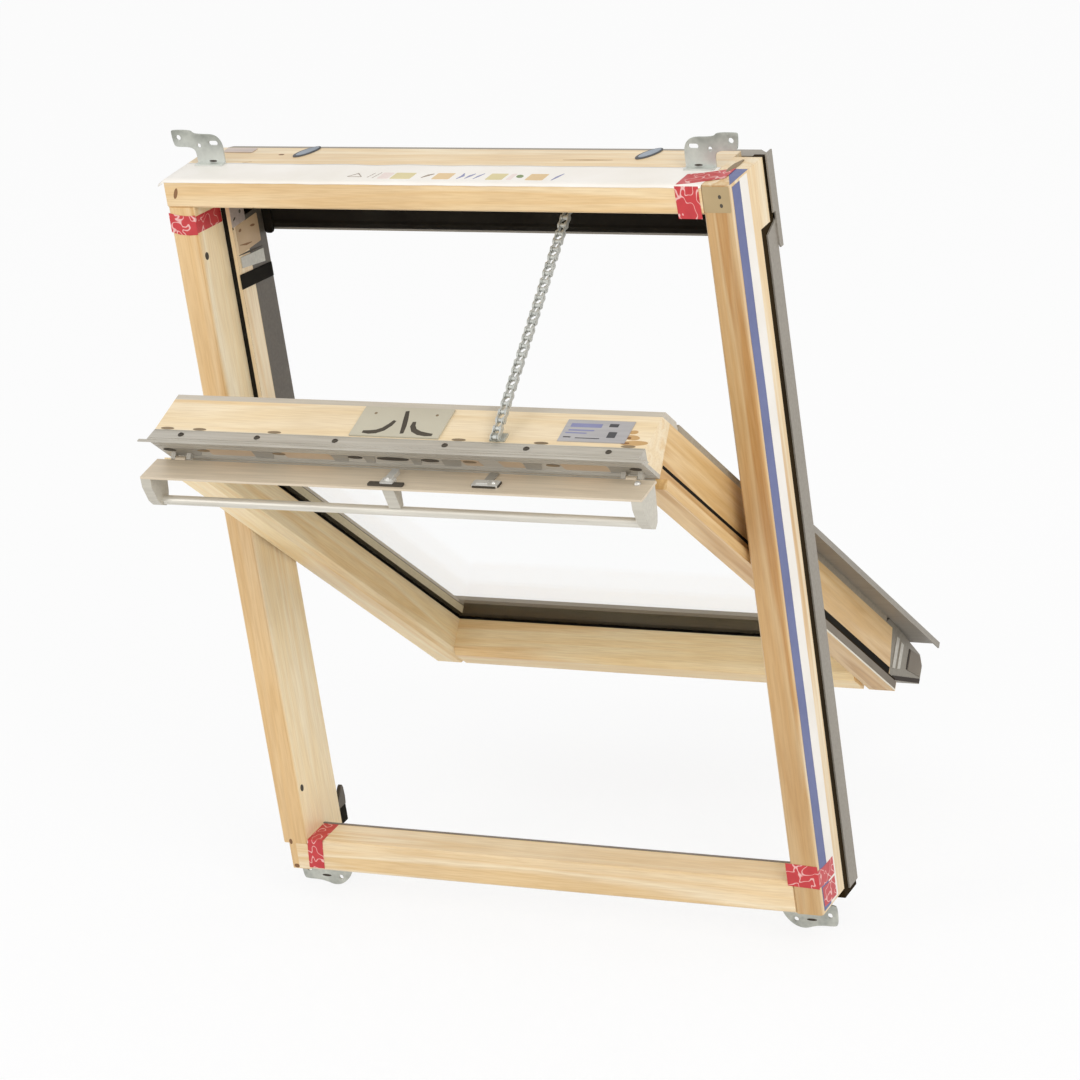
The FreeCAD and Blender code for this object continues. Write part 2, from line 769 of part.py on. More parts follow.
# Lugs with the pins on which the flap turns.
lug_loop = [
    (D["vent_face"], D["hinge_z"] - 4),
    (D["vent_face"], D["hinge_z"] + 4),
    (D["hinge_y"], D["hinge_z"] + 3),
    (D["hinge_y"] - 3, D["hinge_z"]),
    (D["hinge_y"], D["hinge_z"] - 3),
]
for side in SIDES:
    begin, end = knuckle_span(side)
    along_x(vent, [lug_loop], begin - 7, begin - 1)
    pin = new_sketch(vent, "YZ_Plane", begin - 1)
    draw_circle(pin, D["hinge_y"], D["hinge_z"], D["pin_radius"])
    extrude(vent, pin, end - begin + 2)
    along_x(vent, [lug_loop], end + 1, end + 7)

# Sealed glazing unit: two panes, black spacer, black bed against the timber.
GLASS_LEFT = D["rebate_side"] + 1
GLASS_RIGHT = WIDTH - D["rebate_side"] - 1
GLASS_LOW = D["rail_low_top"] - 9
GLASS_HIGH = D["rail_high_low"] + 9
INNER_BACK = D["glass_seat"] + D["pane"]
OUTER_FRONT = INNER_BACK + D["cavity"]
OUTER_BACK = OUTER_FRONT + D["pane"]
glass_loop = box_loop(GLASS_LEFT, GLASS_LOW, GLASS_RIGHT, GLASS_HIGH)


def ring(lap):
    lap = dim(lap)
    inner = box_loop(GLASS_LEFT + lap, GLASS_LOW + lap, GLASS_RIGHT - lap, GLASS_HIGH - lap)
    return [glass_loop, inner]


along_y(new_body("inner_pane", OPENED), [glass_loop], D["glass_seat"], INNER_BACK)
along_y(new_body("outer_pane", OPENED), [glass_loop], OUTER_FRONT, OUTER_BACK)
along_y(new_body("pane_spacer", OPENED), ring(D["spacer_lap"]), INNER_BACK, OUTER_FRONT)
along_y(new_body("glazing_gasket", OPENED), ring(D["glass_lap"]), REBATE, D["glass_seat"])

# Sash cladding on the weather side.
BEAD_LOW = D["rail_low_top"] - D["bead_set"]
BEAD_HIGH = D["rail_high_low"] + D["bead_set"]
for side in SIDES:
    bead = new_body(f"sash_{side}_cladding", OPENED)
    profile = [
        (D["body_gap"], D["sash_back"]),
        (D["rebate_side"], D["sash_back"]),
        (D["rebate_side"], OUTER_BACK),
        (D["stile_inner"], OUTER_BACK),
        (D["stile_inner"], OUTER_BACK + 2),
        (D["rebate_side"] + 4, OUTER_BACK + 6),
        (D["rebate_side"] + 1, D["sash_back"] + 1),
        (D["cover_inner"] + 4, D["sash_clad"]),
        (D["body_gap"], D["sash_clad"]),
    ]
    along_z(bead, [side_loop(side, profile)], BEAD_LOW, BEAD_HIGH)

    cover = new_body(f"{side}_side_cover", OPENED)
    profile = [
        (D["cover_edge"], D["sash_clad"] - 6),
        (D["cover_edge"] + SHEET, D["sash_clad"] - 6),
        (D["cover_edge"] + SHEET, D["sash_clad"]),
        (D["cover_inner"], D["sash_clad"]),
        (D["cover_inner"], D["sash_clad"] + SHEET),
        (D["cover_edge"], D["sash_clad"] + SHEET),
    ]
    along_z(cover, [side_loop(side, profile)], D["cover_foot"], D["cover_top"])

# The lips of the top and bottom cladding reach in to the glass between the stiles.
LIP_ENDS = (D["rebate_side"], WIDTH - D["rebate_side"])
BODY_ENDS = (D["body_gap"], WIDTH - D["body_gap"])
top_bead = new_body("sash_top_cladding", OPENED)
bead_profile = [
    (D["sash_back"], BEAD_HIGH),
    (D["sash_clad"], BEAD_HIGH + D["bead_slope"]),
    (D["sash_clad"], D["sash_top"] - 5),
    (D["sash_back"], D["sash_top"]),
]
along_x(top_bead, [bead_profile], *BODY_ENDS)
lip_loop = box_loop(OUTER_BACK, BEAD_HIGH, D["sash_back"], D["rail_high_low"] + 10)
along_x(top_bead, [lip_loop], *LIP_ENDS)

nose = new_body("bottom_nose", OPENED)
nose_profile = [
    (D["sash_face"] + 15, D["sash_foot"]),
    (D["nose_front"], D["nose_low"]),
    (D["nose_front"] + D["nose_shelf"], D["nose_low"]),
    (D["nose_front"] + D["nose_back"], D["nose_low"] + D["nose_rise"]),
    (D["sash_clad"], D["foot_back"]),
    (D["sash_clad"], BEAD_LOW - D["bead_slope"]),
    (D["sash_back"], BEAD_LOW),
    (D["sash_back"], D["foot_back"]),
]
along_x(nose, [nose_profile], *BODY_ENDS)
lip_loop = box_loop(OUTER_BACK, D["rail_low_top"] - 10, D["sash_back"], BEAD_LOW)
along_x(nose, [lip_loop], *LIP_ENDS)

# Plates on the slope of the top rail.
CENTRE = WIDTH * 0.5


def slope_plate(label, low_share, high_share, start, end, thick):
    """A plate lying on the top rail's slope between two shares of its depth."""
    run_y = D["sash_back"] - D["ridge_y"]
    run_z = D["sash_top"] - D["ridge_z"]
    low = (D["ridge_y"] + run_y * low_share, D["ridge_z"] + run_z * low_share)
    high = (D["ridge_y"] + run_y * high_share, D["ridge_z"] + run_z * high_share)
    rise_y = thick * 0.519
    rise_z = thick * 0.855
    loop = [low, high, (high[0] + rise_y, high[1] + rise_z), (low[0] + rise_y, low[1] + rise_z)]
    plate = new_body(label, OPENED)
    along_x(plate, [loop], start, end)


slope_plate("lock_plate", 0.02, 0.95, CENTRE - D["lock_half"], CENTRE + D["lock_half"], 2.5)
slope_plate("data_plate", 0.12, 0.8, CENTRE + D["data_near"], CENTRE + D["data_far"], 1)
slope_plate("chain_bracket", 0.02, 0.25, D["chain_x"] - 10, D["chain_x"] + 10, 3)

# Ventilation flap with its control bar, drawn in the open position.
REACH_Y = -sine(D["flap_angle"])
REACH_Z = cosine(D["flap_angle"])
flap = new_body("vent_flap", OPENED)
half_sheet = D["flap_sheet"] * 0.5
flap_root = D["knuckle"] - 0.5
flap_start = (D["hinge_y"] + flap_root * REACH_Y, D["hinge_z"] + flap_root * REACH_Z)
flap_end = (D["hinge_y"] + D["flap_reach"] * REACH_Y, D["hinge_z"] + D["flap_reach"] * REACH_Z)
off_y = half_sheet * REACH_Z
off_z = half_sheet * sine(D["flap_angle"])
flap_loop = [
    (flap_start[0] - off_y, flap_start[1] - off_z),
    (flap_end[0] - off_y, flap_end[1] - off_z),
    (flap_end[0] + off_y, flap_end[1] + off_z),
    (flap_start[0] + off_y, flap_start[1] + off_z),
]
along_x(flap, [flap_loop], D["flap_inset"], WIDTH - D["flap_inset"])
bore = D["pin_radius"] + D["pin_play"]
for side in SIDES:
    begin, end = knuckle_span(side)
    tube = new_sketch(flap, "YZ_Plane", begin)
    draw_circle(tube, D["hinge_y"], D["hinge_z"], D["knuckle"])
    draw_circle(tube, D["hinge_y"], D["hinge_z"], bore)
    extrude(flap, tube, end - begin)

bar = new_body("control_bar", OPENED)
bar_end = D["flap_inset"] + D["cap_width"]
bar_sketch = new_sketch(bar, "YZ_Plane", bar_end)
draw_circle(bar_sketch, D["bar_y"], D["bar_z"], D["bar_radius"])
extrude(bar, bar_sketch, WIDTH - bar_end * 2)

for side in SIDES:
    cap = new_body(f"{side}_flap_cap", OPENED)
    cap_loop = [
        (flap_start[0] - off_y - 4, flap_start[1] - off_z + 3.48),
        (flap_end[0] - off_y, flap_end[1] - off_z),
        (flap_end[0] - 9, flap_end[1] - 9),
        (D["bar_y"] - 7, D["bar_z"] + 14),
        (D["bar_y"] - 8, D["bar_z"] + 2),
        (D["bar_y"] - 5, D["bar_z"] - 7),
        (D["bar_y"] + 4, D["bar_z"] - 8.5),
        (D["bar_y"] + 14, D["bar_z"] - 4),
    ]
    along_x(cap, [cap_loop], *span(side, D["flap_inset"], bar_end))

# The bracket's foot is tangent to the bar, its top lies on the flap's underside.
middle = new_body("flap_centre_bracket", OPENED)
tangent_y = D["bar_y"] + D["bar_radius"] * 0.61
tangent_z = D["bar_z"] + D["bar_radius"] * 0.7924
middle_loop = [
    (D["hinge_y"] + REACH_Y * 22 - off_y, D["hinge_z"] + REACH_Z * 22 - off_z),
    (D["hinge_y"] + REACH_Y * 42 - off_y, D["hinge_z"] + REACH_Z * 42 - off_z),
    (tangent_y - 3.17, tangent_z + 2.44),
    (tangent_y + 3.17, tangent_z - 2.44),
]
along_x(middle, [middle_loop], CENTRE - 8, CENTRE + 8)

doc.recompute()
os.makedirs("parts", exist_ok=True)
for item in doc.Objects:
    if "Invalid" in item.State or "Error" in item.State:
        raise RuntimeError(f"{item.Label}: {item.State}")
for body in nodes:
    if body.Shape.isNull() or not body.Shape.isValid() or len(body.Shape.Solids) != 1:
        raise RuntimeError(f"{body.Label}: {len(body.Shape.Solids)} solids")
    body.Shape.exportStep(f"parts/{body.Label}.step")
print(len(nodes), "nodes")
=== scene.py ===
import json
import math

import bmesh
import bpy
from mathutils import Matrix, Vector, noise


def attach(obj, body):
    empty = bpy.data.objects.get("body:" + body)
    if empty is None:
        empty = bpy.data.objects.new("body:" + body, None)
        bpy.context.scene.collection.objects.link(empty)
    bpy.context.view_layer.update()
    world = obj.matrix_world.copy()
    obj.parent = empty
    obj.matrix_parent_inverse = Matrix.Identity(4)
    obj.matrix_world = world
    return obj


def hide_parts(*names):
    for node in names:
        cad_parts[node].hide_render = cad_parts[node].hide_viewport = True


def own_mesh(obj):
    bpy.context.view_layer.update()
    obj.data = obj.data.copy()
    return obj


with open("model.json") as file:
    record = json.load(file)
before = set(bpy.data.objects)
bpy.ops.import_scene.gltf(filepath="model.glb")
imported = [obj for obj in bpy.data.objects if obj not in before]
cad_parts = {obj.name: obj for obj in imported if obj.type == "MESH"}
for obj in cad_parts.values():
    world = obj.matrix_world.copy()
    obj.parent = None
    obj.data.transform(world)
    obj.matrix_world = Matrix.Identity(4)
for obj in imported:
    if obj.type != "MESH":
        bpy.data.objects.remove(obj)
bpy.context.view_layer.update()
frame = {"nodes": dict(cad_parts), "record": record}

# Window coordinates in millimetres: X right from the frame's left edge, Y outward from its room
# face, Z up from its foot. The sash and flap are described closed and turned open from there.
ORIGIN = Vector((24, 62, -28))
WIDTH = 780
HEIGHT = 980
FACE = 37
SILL_TOP = 45
CENTRE = WIDTH / 2
PIVOT_Y = 157
PIVOT_Z = 503
OPEN_TURN = math.radians(47.5)
FLAP_ANGLE = math.radians(49)
FLOOR = -57
SASH_LEFT = 55
SASH_RIGHT = 725
FLANGE_LEFT = 44
FLANGE_RIGHT = 736
VENT_LEFT = 56
VENT_RIGHT = 724
MM = 0.001
# Trim starts this far off the face that carries it.
CLEAR = 0.02


def on_frame(point):
    """A window point in millimetres as a place in the scene, in metres."""
    return (Vector(point) - ORIGIN) * MM


def on_sash(point):
    """A point of the closed sash as a place in the scene after the sash is turned open."""
    x, y, z = point
    turn = Matrix.Rotation(OPEN_TURN, 2)
    y, z = turn @ Vector((y - PIVOT_Y, z - PIVOT_Z))
    return on_frame((x, PIVOT_Y + y, PIVOT_Z + z))


PLACES = {"frame": on_frame, "sash": on_sash, "flap": on_sash}


class Patch:
    """A flat face; points on it are given along it, across it and off it."""

    def __init__(self, corner, along, across):
        self.corner = Vector(corner)
        self.along = Vector(along).normalized()
        self.across = Vector(across).normalized()
        self.out = self.along.cross(self.across)

    def __call__(self, a, b, c=0.0):
        return self.corner + self.along * a + self.across * b + self.out * c


X_AXIS = (1, 0, 0)
Y_AXIS = (0, 1, 0)
Z_AXIS = (0, 0, 1)
FRONT = Patch((0, 0, 0), X_AXIS, Z_AXIS)
HEAD_TOP = Patch((0, 0, HEIGHT), X_AXIS, Y_AXIS)
UNDERSIDE = Patch((0, 0, 0), (-1, 0, 0), Y_AXIS)
SEAT_BACK = Patch((0, 64.5, 0), X_AXIS, Z_AXIS)
SILL_UPPER = Patch((0, 0, SILL_TOP), X_AXIS, Y_AXIS)
RIGHT_SIDE = Patch((WIDTH, 0, 0), Y_AXIS, Z_AXIS)
LEFT_SIDE = Patch((0, 0, 0), Z_AXIS, Y_AXIS)
LEFT_REVEAL = Patch((FACE, 0, 0), Y_AXIS, Z_AXIS)
LEFT_STOP = Patch((49.5, 0, 0), Y_AXIS, Z_AXIS)
STOP_FRONT = Patch((0, 63.5, 0), X_AXIS, Z_AXIS)
HOOD_LINING = Patch((0, 143.4, 0), X_AXIS, Z_AXIS)
TIMBER_SLOPE = Patch((0, 77, 921), X_AXIS, (0, 51, -31))
VENT_SLOPE = Patch((0, 55, 938), X_AXIS, (0, 22, -17))
VENT_FACE = Patch((0, 58, 868), X_AXIS, Z_AXIS)
RAIL_LEDGE = Patch((0, 0, 868), X_AXIS, Y_AXIS)
RIGHT_STILE = Patch((SASH_RIGHT, 0, 0), Y_AXIS, Z_AXIS)
RIGHT_FLANGE = Patch((FLANGE_RIGHT, 0, 0), Y_AXIS, Z_AXIS)
LEFT_STILE = Patch((SASH_LEFT, 0, 0), Z_AXIS, Y_AXIS)
LEFT_FLANGE = Patch((FLANGE_LEFT, 0, 0), Z_AXIS, Y_AXIS)
FLAP_HINGE = Vector((0, 50, 887))
FLAP_HALF_THICK = 1.5
FLAP_NORMAL = Vector((0, math.cos(FLAP_ANGLE), math.sin(FLAP_ANGLE)))
FLAP_TOP = Patch(
    FLAP_HINGE + FLAP_NORMAL * FLAP_HALF_THICK,
    X_AXIS,
    (0, math.sin(FLAP_ANGLE), -math.cos(FLAP_ANGLE)),
)


def raised(patch, outline, low, high):
    """A prism over a closed outline on a patch, between two heights off it."""
    count = len(outline)
    points = [patch(a, b, level) for level in (low, high) for a, b in outline]
    faces = [list(range(count))[::-1], list(range(count, 2 * count))]
    for i in range(count):
        j = (i + 1) % count
        faces.append([i, j, count + j, count + i])
    return points, faces


def pierced(patch, outline, holes, low, high):
    """A plate over an outline with holes through it, between two heights off a patch."""
    loops = [outline, *holes]
    fill = bmesh.new()
    edges = []
    for loop in loops:
        corners = [fill.verts.new((a, b, 0)) for a, b in loop]
        edges.extend(fill.edges.new((corners[i - 1], corners[i])) for i in range(len(corners)))
    bmesh.ops.triangle_fill(fill, use_beauty=True, edges=edges)
    fill.verts.index_update()
    flat = [(corner.co.x, corner.co.y) for corner in fill.verts]
    caps = [[corner.index for corner in face.verts] for face in fill.faces]
    fill.free()
    count = len(flat)
    points = [patch(a, b, level) for level in (low, high) for a, b in flat]
    faces = [face[::-1] for face in caps] + [[count + i for i in face] for face in caps]
    start = 0
    for loop in loops:
        size = len(loop)
        for i in range(size):
            j = (i + 1) % size
            faces.append([start + i, start + j, count + start + j, count + start + i])
        start += size
    return points, faces


def softened(line, rounds=2):
    """An open line with its corners cut round, its ends kept."""
    for _ in range(rounds):
        cut = [line[0]]
        for (a, b), (c, d) in zip(line, line[1:]):
            cut.append((a * 0.75 + c * 0.25, b * 0.75 + d * 0.25))
            cut.append((a * 0.25 + c * 0.75, b * 0.25 + d * 0.75))
        line = [*cut, line[-1]]
    return line


def join(shapes):
    """Several shapes as one."""
    points = []
    faces = []
    for more_points, more_faces in shapes:
        start = len(points)
        points.extend(more_points)
        faces.extend([[start + i for i in face] for face in more_faces])
    return points, faces


def oval(a, b, half_a, half_b, turn=0.0, count=28):
    """The outline of an ellipse, turned by an angle."""
    outline = []
    for i in range(count):
        angle = 2 * math.pi * i / count
        u = half_a * math.cos(angle)
        v = half_b * math.sin(angle)
        cos = math.cos(turn)
        sin = math.sin(turn)
        outline.append((a + u * cos - v * sin, b + u * sin + v * cos))
    return outline


def rounded(low_a, low_b, high_a, high_b, radius, steps=5):
    """The outline of a rectangle with rounded corners."""
    outline = []
    corners = (
        (high_a - radius, high_b - radius, 0),
        (low_a + radius, high_b - radius, 90),
        (low_a + radius, low_b + radius, 180),
        (high_a - radius, low_b + radius, 270),
    )
    for a, b, start in corners:
        for i in range(steps + 1):
            angle = math.radians(start + 90 * i / steps)
            outline.append((a + radius * math.cos(angle), b + radius * math.sin(angle)))
    return outline


def stroke(line, width, ends=0.25):
    """The outline of a thick line, narrower at its ends by a share."""
    left = []
    right = []
    for i, (a, b) in enumerate(line):
        before = Vector(line[max(i - 1, 0)])
        after = Vector(line[min(i + 1, len(line) - 1)])
        way = (after - before).normalized()
        share = i / (len(line) - 1)
        half = width * (ends + (1 - ends) * math.sin(math.pi * share) ** 0.5) / 2
        left.append((a - way.y * half, b + way.x * half))
        right.append((a + way.y * half, b - way.x * half))
    return left + right[::-1]


def dome(patch, a, b, radius, height, count=20, rings=5):
    """A rounded head standing on a patch."""
    points = []
    faces = []
    for ring in range(rings):
        lean = math.pi / 2 * ring / rings
        for i in range(count):
            angle = 2 * math.pi * i / count
            reach = radius * math.cos(lean)
            lift = height * math.sin(lean)
            points.append(patch(a + reach * math.cos(angle), b + reach * math.sin(angle), lift))
    points.append(patch(a, b, height))
    for ring in range(rings - 1):
        for i in range(count):
            j = (i + 1) % count
            low = ring * count
            faces.append([low + i, low + j, low + count + j, low + count + i])
    last = (rings - 1) * count
    for i in range(count):
        faces.append([last + i, last + (i + 1) % count, len(points) - 1])
    faces.append(list(range(count))[::-1])
    return points, faces


def add_piece(name, body, shape, look, bevel=0.0, smooth=False):
    """A mesh piece that rides on a body, from a shape in that body's coordinates."""
    points, faces = shape
    mesh = bpy.data.meshes.new(name)
    mesh.from_pydata([PLACES[body](point) for point in points], [], faces)
    build = bmesh.new()
    build.from_mesh(mesh)
    bmesh.ops.recalc_face_normals(build, faces=build.faces)
    build.to_mesh(mesh)
    build.free()
    mesh.polygons.foreach_set("use_smooth", [smooth] * len(mesh.polygons))
    piece = bpy.data.objects.new(name, mesh)
    bpy.context.scene.collection.objects.link(piece)
    mesh.materials.append(look)
    if bevel:
        edge = piece.modifiers.new("edge", "BEVEL")
        edge.width = bevel * MM
        edge.segments = 2
        edge.limit_method = "ANGLE"
    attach(piece, body)
    return piece


class Look:
    """A material under construction; nodes are added by type and fed by socket."""

    def __init__(self, name, roughness=0.5, metallic=0.0):
        self.material = bpy.data.materials.new(name)
        self.material.use_nodes = True
        self.tree = self.material.node_tree
        self.shader = self.tree.nodes["Principled BSDF"]
        self.shader.inputs["Roughness"].default_value = roughness
        self.shader.inputs["Metallic"].default_value = metallic

    def add(self, kind, inputs=None, **settings):
        node = self.tree.nodes.new("ShaderNode" + kind)
        for key, value in settings.items():
            setattr(node, key, value)
        for key, value in (inputs or {}).items():
            if isinstance(value, bpy.types.NodeSocket):
                self.tree.links.new(value, node.inputs[key])
            else:
                node.inputs[key].default_value = value
        return node

    def place(self, turned=False):
        coordinates = self.add("TexCoord").outputs["Object"]
        if turned:
            rotation = (-OPEN_TURN, 0, 0)
            coordinates = self.add("Mapping", {"Vector": coordinates, "Rotation": rotation}).outputs[0]
        return coordinates

    def stretch(self, coordinates, scale, seed=0.0):
        inputs = {"Vector": coordinates, "Scale": scale, "Location": (seed, seed * 1.7, seed * 0.6)}
        return self.add("Mapping", inputs).outputs[0]

    def noise(self, coordinates, scale, detail=3.0, distortion=0.0):
        inputs = {"Vector": coordinates, "Scale": scale, "Detail": detail, "Distortion": distortion}
        return self.add("TexNoise", inputs).outputs["Fac"]

    def ramp(self, factor, stops):
        node = self.add("ValToRGB", {"Fac": factor})
        elements = node.color_ramp.elements
        while len(elements) < len(stops):
            elements.new(0.5)
        for element, (place, colour) in zip(elements, stops):
            element.position = place
            element.color = (*colour, 1)
        return node.outputs["Color"]

    def mix(self, factor, first, second, blend="MIX"):
        node = self.add("Mix", {0: factor, 6: first, 7: second}, data_type="RGBA", blend_type=blend)
        return node.outputs[2]

    def span(self, factor, low, high):
        return self.add("MapRange", {"Value": factor, "To Min": low, "To Max": high}).outputs[0]

    def fade(self, value, start, end, strength):
        """A share that falls from a strength to nothing between two values."""
        inputs = {"Value": value, "From Min": start, "From Max": end, "To Min": strength, "To Max": 0.0}
        return self.add("MapRange", inputs).outputs[0]

    def feed(self, socket, source):
        self.tree.links.new(source, self.shader.inputs[socket])

    def bump(self, height, strength, distance=0.0006):
        inputs = {"Height": height, "Strength": strength, "Distance": distance}
        self.feed("Normal", self.add("Bump", inputs).outputs["Normal"])


PALE = (0.88, 0.75, 0.54)
STRAW = (0.80, 0.60, 0.345)
HONEY = (0.70, 0.455, 0.205)
# Depth of the room-side faces that a face tone darkens as painted shade, and the width of its blend.
SHADED_FRONT_Y = -0.0615
FRONT_SHADE_BLEND = 0.003


def pine(name, grain, seed, tones, turned=False, broad=30, face=None):
    """Lacquered pine with its grain along one axis of the frame or of the turned sash.

    A face tone darkens the side towards the room as a painted shade.
    """
    look = Look(name, 0.45)
    place = look.place(turned)
    along = {"X": (0.045, 1, 1), "Z": (1, 1, 0.045)}[grain]
    fibre_place = look.stretch(place, along, seed)
    bands = look.noise(fibre_place, broad, 2.5, 0.35)
    fibres = look.noise(fibre_place, 520, 2.0)
    cloud = look.noise(look.stretch(place, (1, 1, 1), seed), 4.5, 2.0)
    pale, middle, dark = tones
    stops = [(0.30, pale), (0.46, middle), (0.56, pale), (0.64, dark), (0.72, middle)]
    colour = look.ramp(bands, stops)
    lines = look.ramp(fibres, [(0.35, (0.82, 0.76, 0.68)), (0.6, (1, 1, 1))])
    colour = look.mix(0.5, colour, lines, "MULTIPLY")
    tone = look.ramp(cloud, [(0.35, (0.93, 0.90, 0.86)), (0.65, (1.04, 1.03, 1.0))])
    colour = look.mix(0.8, colour, tone, "MULTIPLY")
    # Painted shade: the face tone multiplies into the faces towards the room.
    if face:
        depth = look.add("SeparateXYZ", {"Vector": look.place()}).outputs["Y"]
        share = look.fade(depth, SHADED_FRONT_Y, SHADED_FRONT_Y + FRONT_SHADE_BLEND, 1.0)
        colour = look.mix(share, colour, look.mix(1.0, colour, (*face, 1), "MULTIPLY"))
    look.feed("Base Color", colour)
    look.feed("Roughness", look.span(fibres, 0.36, 0.56))
    look.bump(fibres, 0.12)
    look.shader.inputs["Coat Weight"].default_value = 0.15
    look.shader.inputs["Coat Roughness"].default_value = 0.3
    return look.material


def sheet_metal(name, light, dark, roughness, metallic, turned=False, streak=0.04):
    """Lacquered or anodised sheet with faint drawing streaks along X."""
    look = Look(name, roughness, metallic)
    place = look.place(turned)
    streaks = look.noise(look.stretch(place, (streak, 1, 1)), 260, 3.0)
    cloud = look.noise(place, 7, 3.0)
    colour = look.ramp(streaks, [(0.3, dark), (0.7, light)])
    tone = look.ramp(cloud, [(0.3, (0.92, 0.91, 0.90)), (0.7, (1.03, 1.03, 1.03))])
    look.feed("Base Color", look.mix(0.7, colour, tone, "MULTIPLY"))
    look.feed("Roughness", look.span(streaks, roughness - 0.08, roughness + 0.1))
    look.bump(streaks, 0.06, 0.0003)
    return look.material


def moulded(name, light, dark, roughness, grain_scale=700, bump=0.15, sheen=0.4):
    """Rubber, foam or moulded plastic with a fine stipple."""
    look = Look(name, roughness)
    place = look.place()
    stipple = look.noise(place, grain_scale, 2.0)
    cloud = look.noise(place, 12, 3.0)
    look.feed("Base Color", look.ramp(cloud, [(0.3, dark), (0.7, light)]))
    look.feed("Roughness", look.span(stipple, roughness - 0.1, roughness + 0.1))
    look.bump(stipple, bump, 0.0003)
    look.shader.inputs["Specular IOR Level"].default_value = sheen
    return look.material


def zinc(name, shade_highlight_span=None):
    """Zinc plated steel with a soft spangle; given a height span, the plate is darker as a painted
    shade, and paler as a painted highlight towards the span's low end.
    """
    look = Look(name, 0.38, 0.55)
    place = look.place()
    spangle = look.add("TexVoronoi", {"Vector": place, "Scale": 160.0}).outputs["Distance"]
    cloud = look.noise(place, 40, 3.0)
    # Painted shade: darker tones over the whole plate when a span is given.
    dull = (0.27, 0.28, 0.245) if shade_highlight_span else (0.37, 0.385, 0.35)
    bright = (0.47, 0.48, 0.425) if shade_highlight_span else (0.60, 0.61, 0.55)
    colour = look.ramp(cloud, [(0.3, dull), (0.7, bright)])
    flakes = look.ramp(spangle, [(0.0, (0.80, 0.80, 0.80)), (0.8, (1.05, 1.05, 1.05))])
    colour = look.mix(0.7, colour, flakes, "MULTIPLY")
    # Painted highlight along the fold to the foot, fading upward over the span.
    if shade_highlight_span:
        height = look.add("SeparateXYZ", {"Vector": place}).outputs["Z"]
        colour = look.mix(look.fade(height, *shade_highlight_span, 0.65), colour, (0.78, 0.80, 0.76, 1))
    look.feed("Base Color", colour)
    look.feed("Roughness", look.span(cloud, 0.28, 0.5))
    look.bump(cloud, 0.1, 0.0003)
    return look.material


def red_tape(name):
    """Red packing tape with a few pale squiggles printed on it."""
    look = Look(name, 0.34)
    place = look.place()
    loops = look.noise(place, 75, 0.0, 0.6)
    creases = look.noise(place, 90, 4.0)
    red = (0.56, 0.036, 0.042)
    pale = (0.80, 0.46, 0.43)
    stops = [(0.0, (0.46, 0.025, 0.032)), (0.51, red), (0.535, pale), (0.565, pale), (0.59, red)]
    look.feed("Base Color", look.ramp(loops, stops))
    look.feed("Roughness", look.span(creases, 0.25, 0.5))
    look.bump(creases, 0.35)
    return look.material


def clear_glass(name):
    """Thin clear glass with faint smears."""
    look = Look(name, 0.0)
    smear = look.noise(look.place(), 9, 2.0)
    look.feed("Roughness", look.span(smear, 0.0, 0.02))
    look.shader.inputs["Base Color"].default_value = (0.997, 0.999, 0.998, 1)
    look.shader.inputs["Transmission Weight"].default_value = 1
    look.shader.inputs["IOR"].default_value = 1.06
    return look.material


PALE_TONES = (PALE, (0.84, 0.68, 0.44), STRAW)
LIGHT_TONES = ((0.97, 0.85, 0.62), (0.93, 0.76, 0.48), (0.86, 0.65, 0.36))
INNER_TONES = ((0.97, 0.82, 0.54), (0.94, 0.74, 0.42), (0.88, 0.64, 0.32))
RAIL_TONES = ((0.98, 0.80, 0.50), (0.95, 0.72, 0.39), (0.90, 0.63, 0.31))
# Right stile tones: deeper orange pine, darkened partly as painted shade from the jamb beside it.
ORANGE_SHADED_STILE_TONES = ((0.80, 0.575, 0.30), (0.71, 0.46, 0.19), (0.59, 0.34, 0.115))
# The face tones of the head and jambs paint shade onto their room-side faces.
head_pine = pine("head_pine", "X", 1.3, (PALE, STRAW, (0.75, 0.54, 0.29)), face=(0.96, 0.90, 0.80))
sill_pine = pine("sill_pine", "X", 4.1, (PALE, STRAW, (0.76, 0.55, 0.29)))
left_jamb_pine = pine("left_jamb_pine", "Z", 2.2, LIGHT_TONES, broad=26, face=(0.77, 0.63, 0.47))
right_jamb_pine = pine("right_jamb_pine", "Z", 7.9, (PALE, STRAW, HONEY), face=(0.70, 0.57, 0.41))
stop_pine = pine("stop_pine", "Z", 5.4, (PALE, STRAW, HONEY))
left_stile_pine = pine("left_stile_pine", "Z", 3.6, INNER_TONES, turned=True)
right_stile_pine = pine("right_stile_pine", "Z", 9.2, ORANGE_SHADED_STILE_TONES, turned=True)
rail_pine = pine("rail_pine", "X", 6.5, RAIL_TONES, turned=True)
slope_pine = pine("slope_pine", "X", 8.7, PALE_TONES, turned=True)
cladding = sheet_metal("cladding_grey", (0.34, 0.31, 0.26), (0.27, 0.24, 0.20), 0.48, 0.15)
dark_cladding = sheet_metal("stop_cladding_grey", (0.13, 0.11, 0.085), (0.09, 0.076, 0.058), 0.5, 0.1)
sash_cladding = sheet_metal("sash_cladding_grey", (0.42, 0.36, 0.27), (0.33, 0.28, 0.21), 0.5, 0.1, True)
top_trim = sheet_metal("top_trim_grey", (0.62, 0.57, 0.48), (0.54, 0.49, 0.41), 0.45, 0.1, True)
vent_grey = sheet_metal("vent_grey", (0.55, 0.52, 0.455), (0.44, 0.41, 0.35), 0.40, 0.15, True)
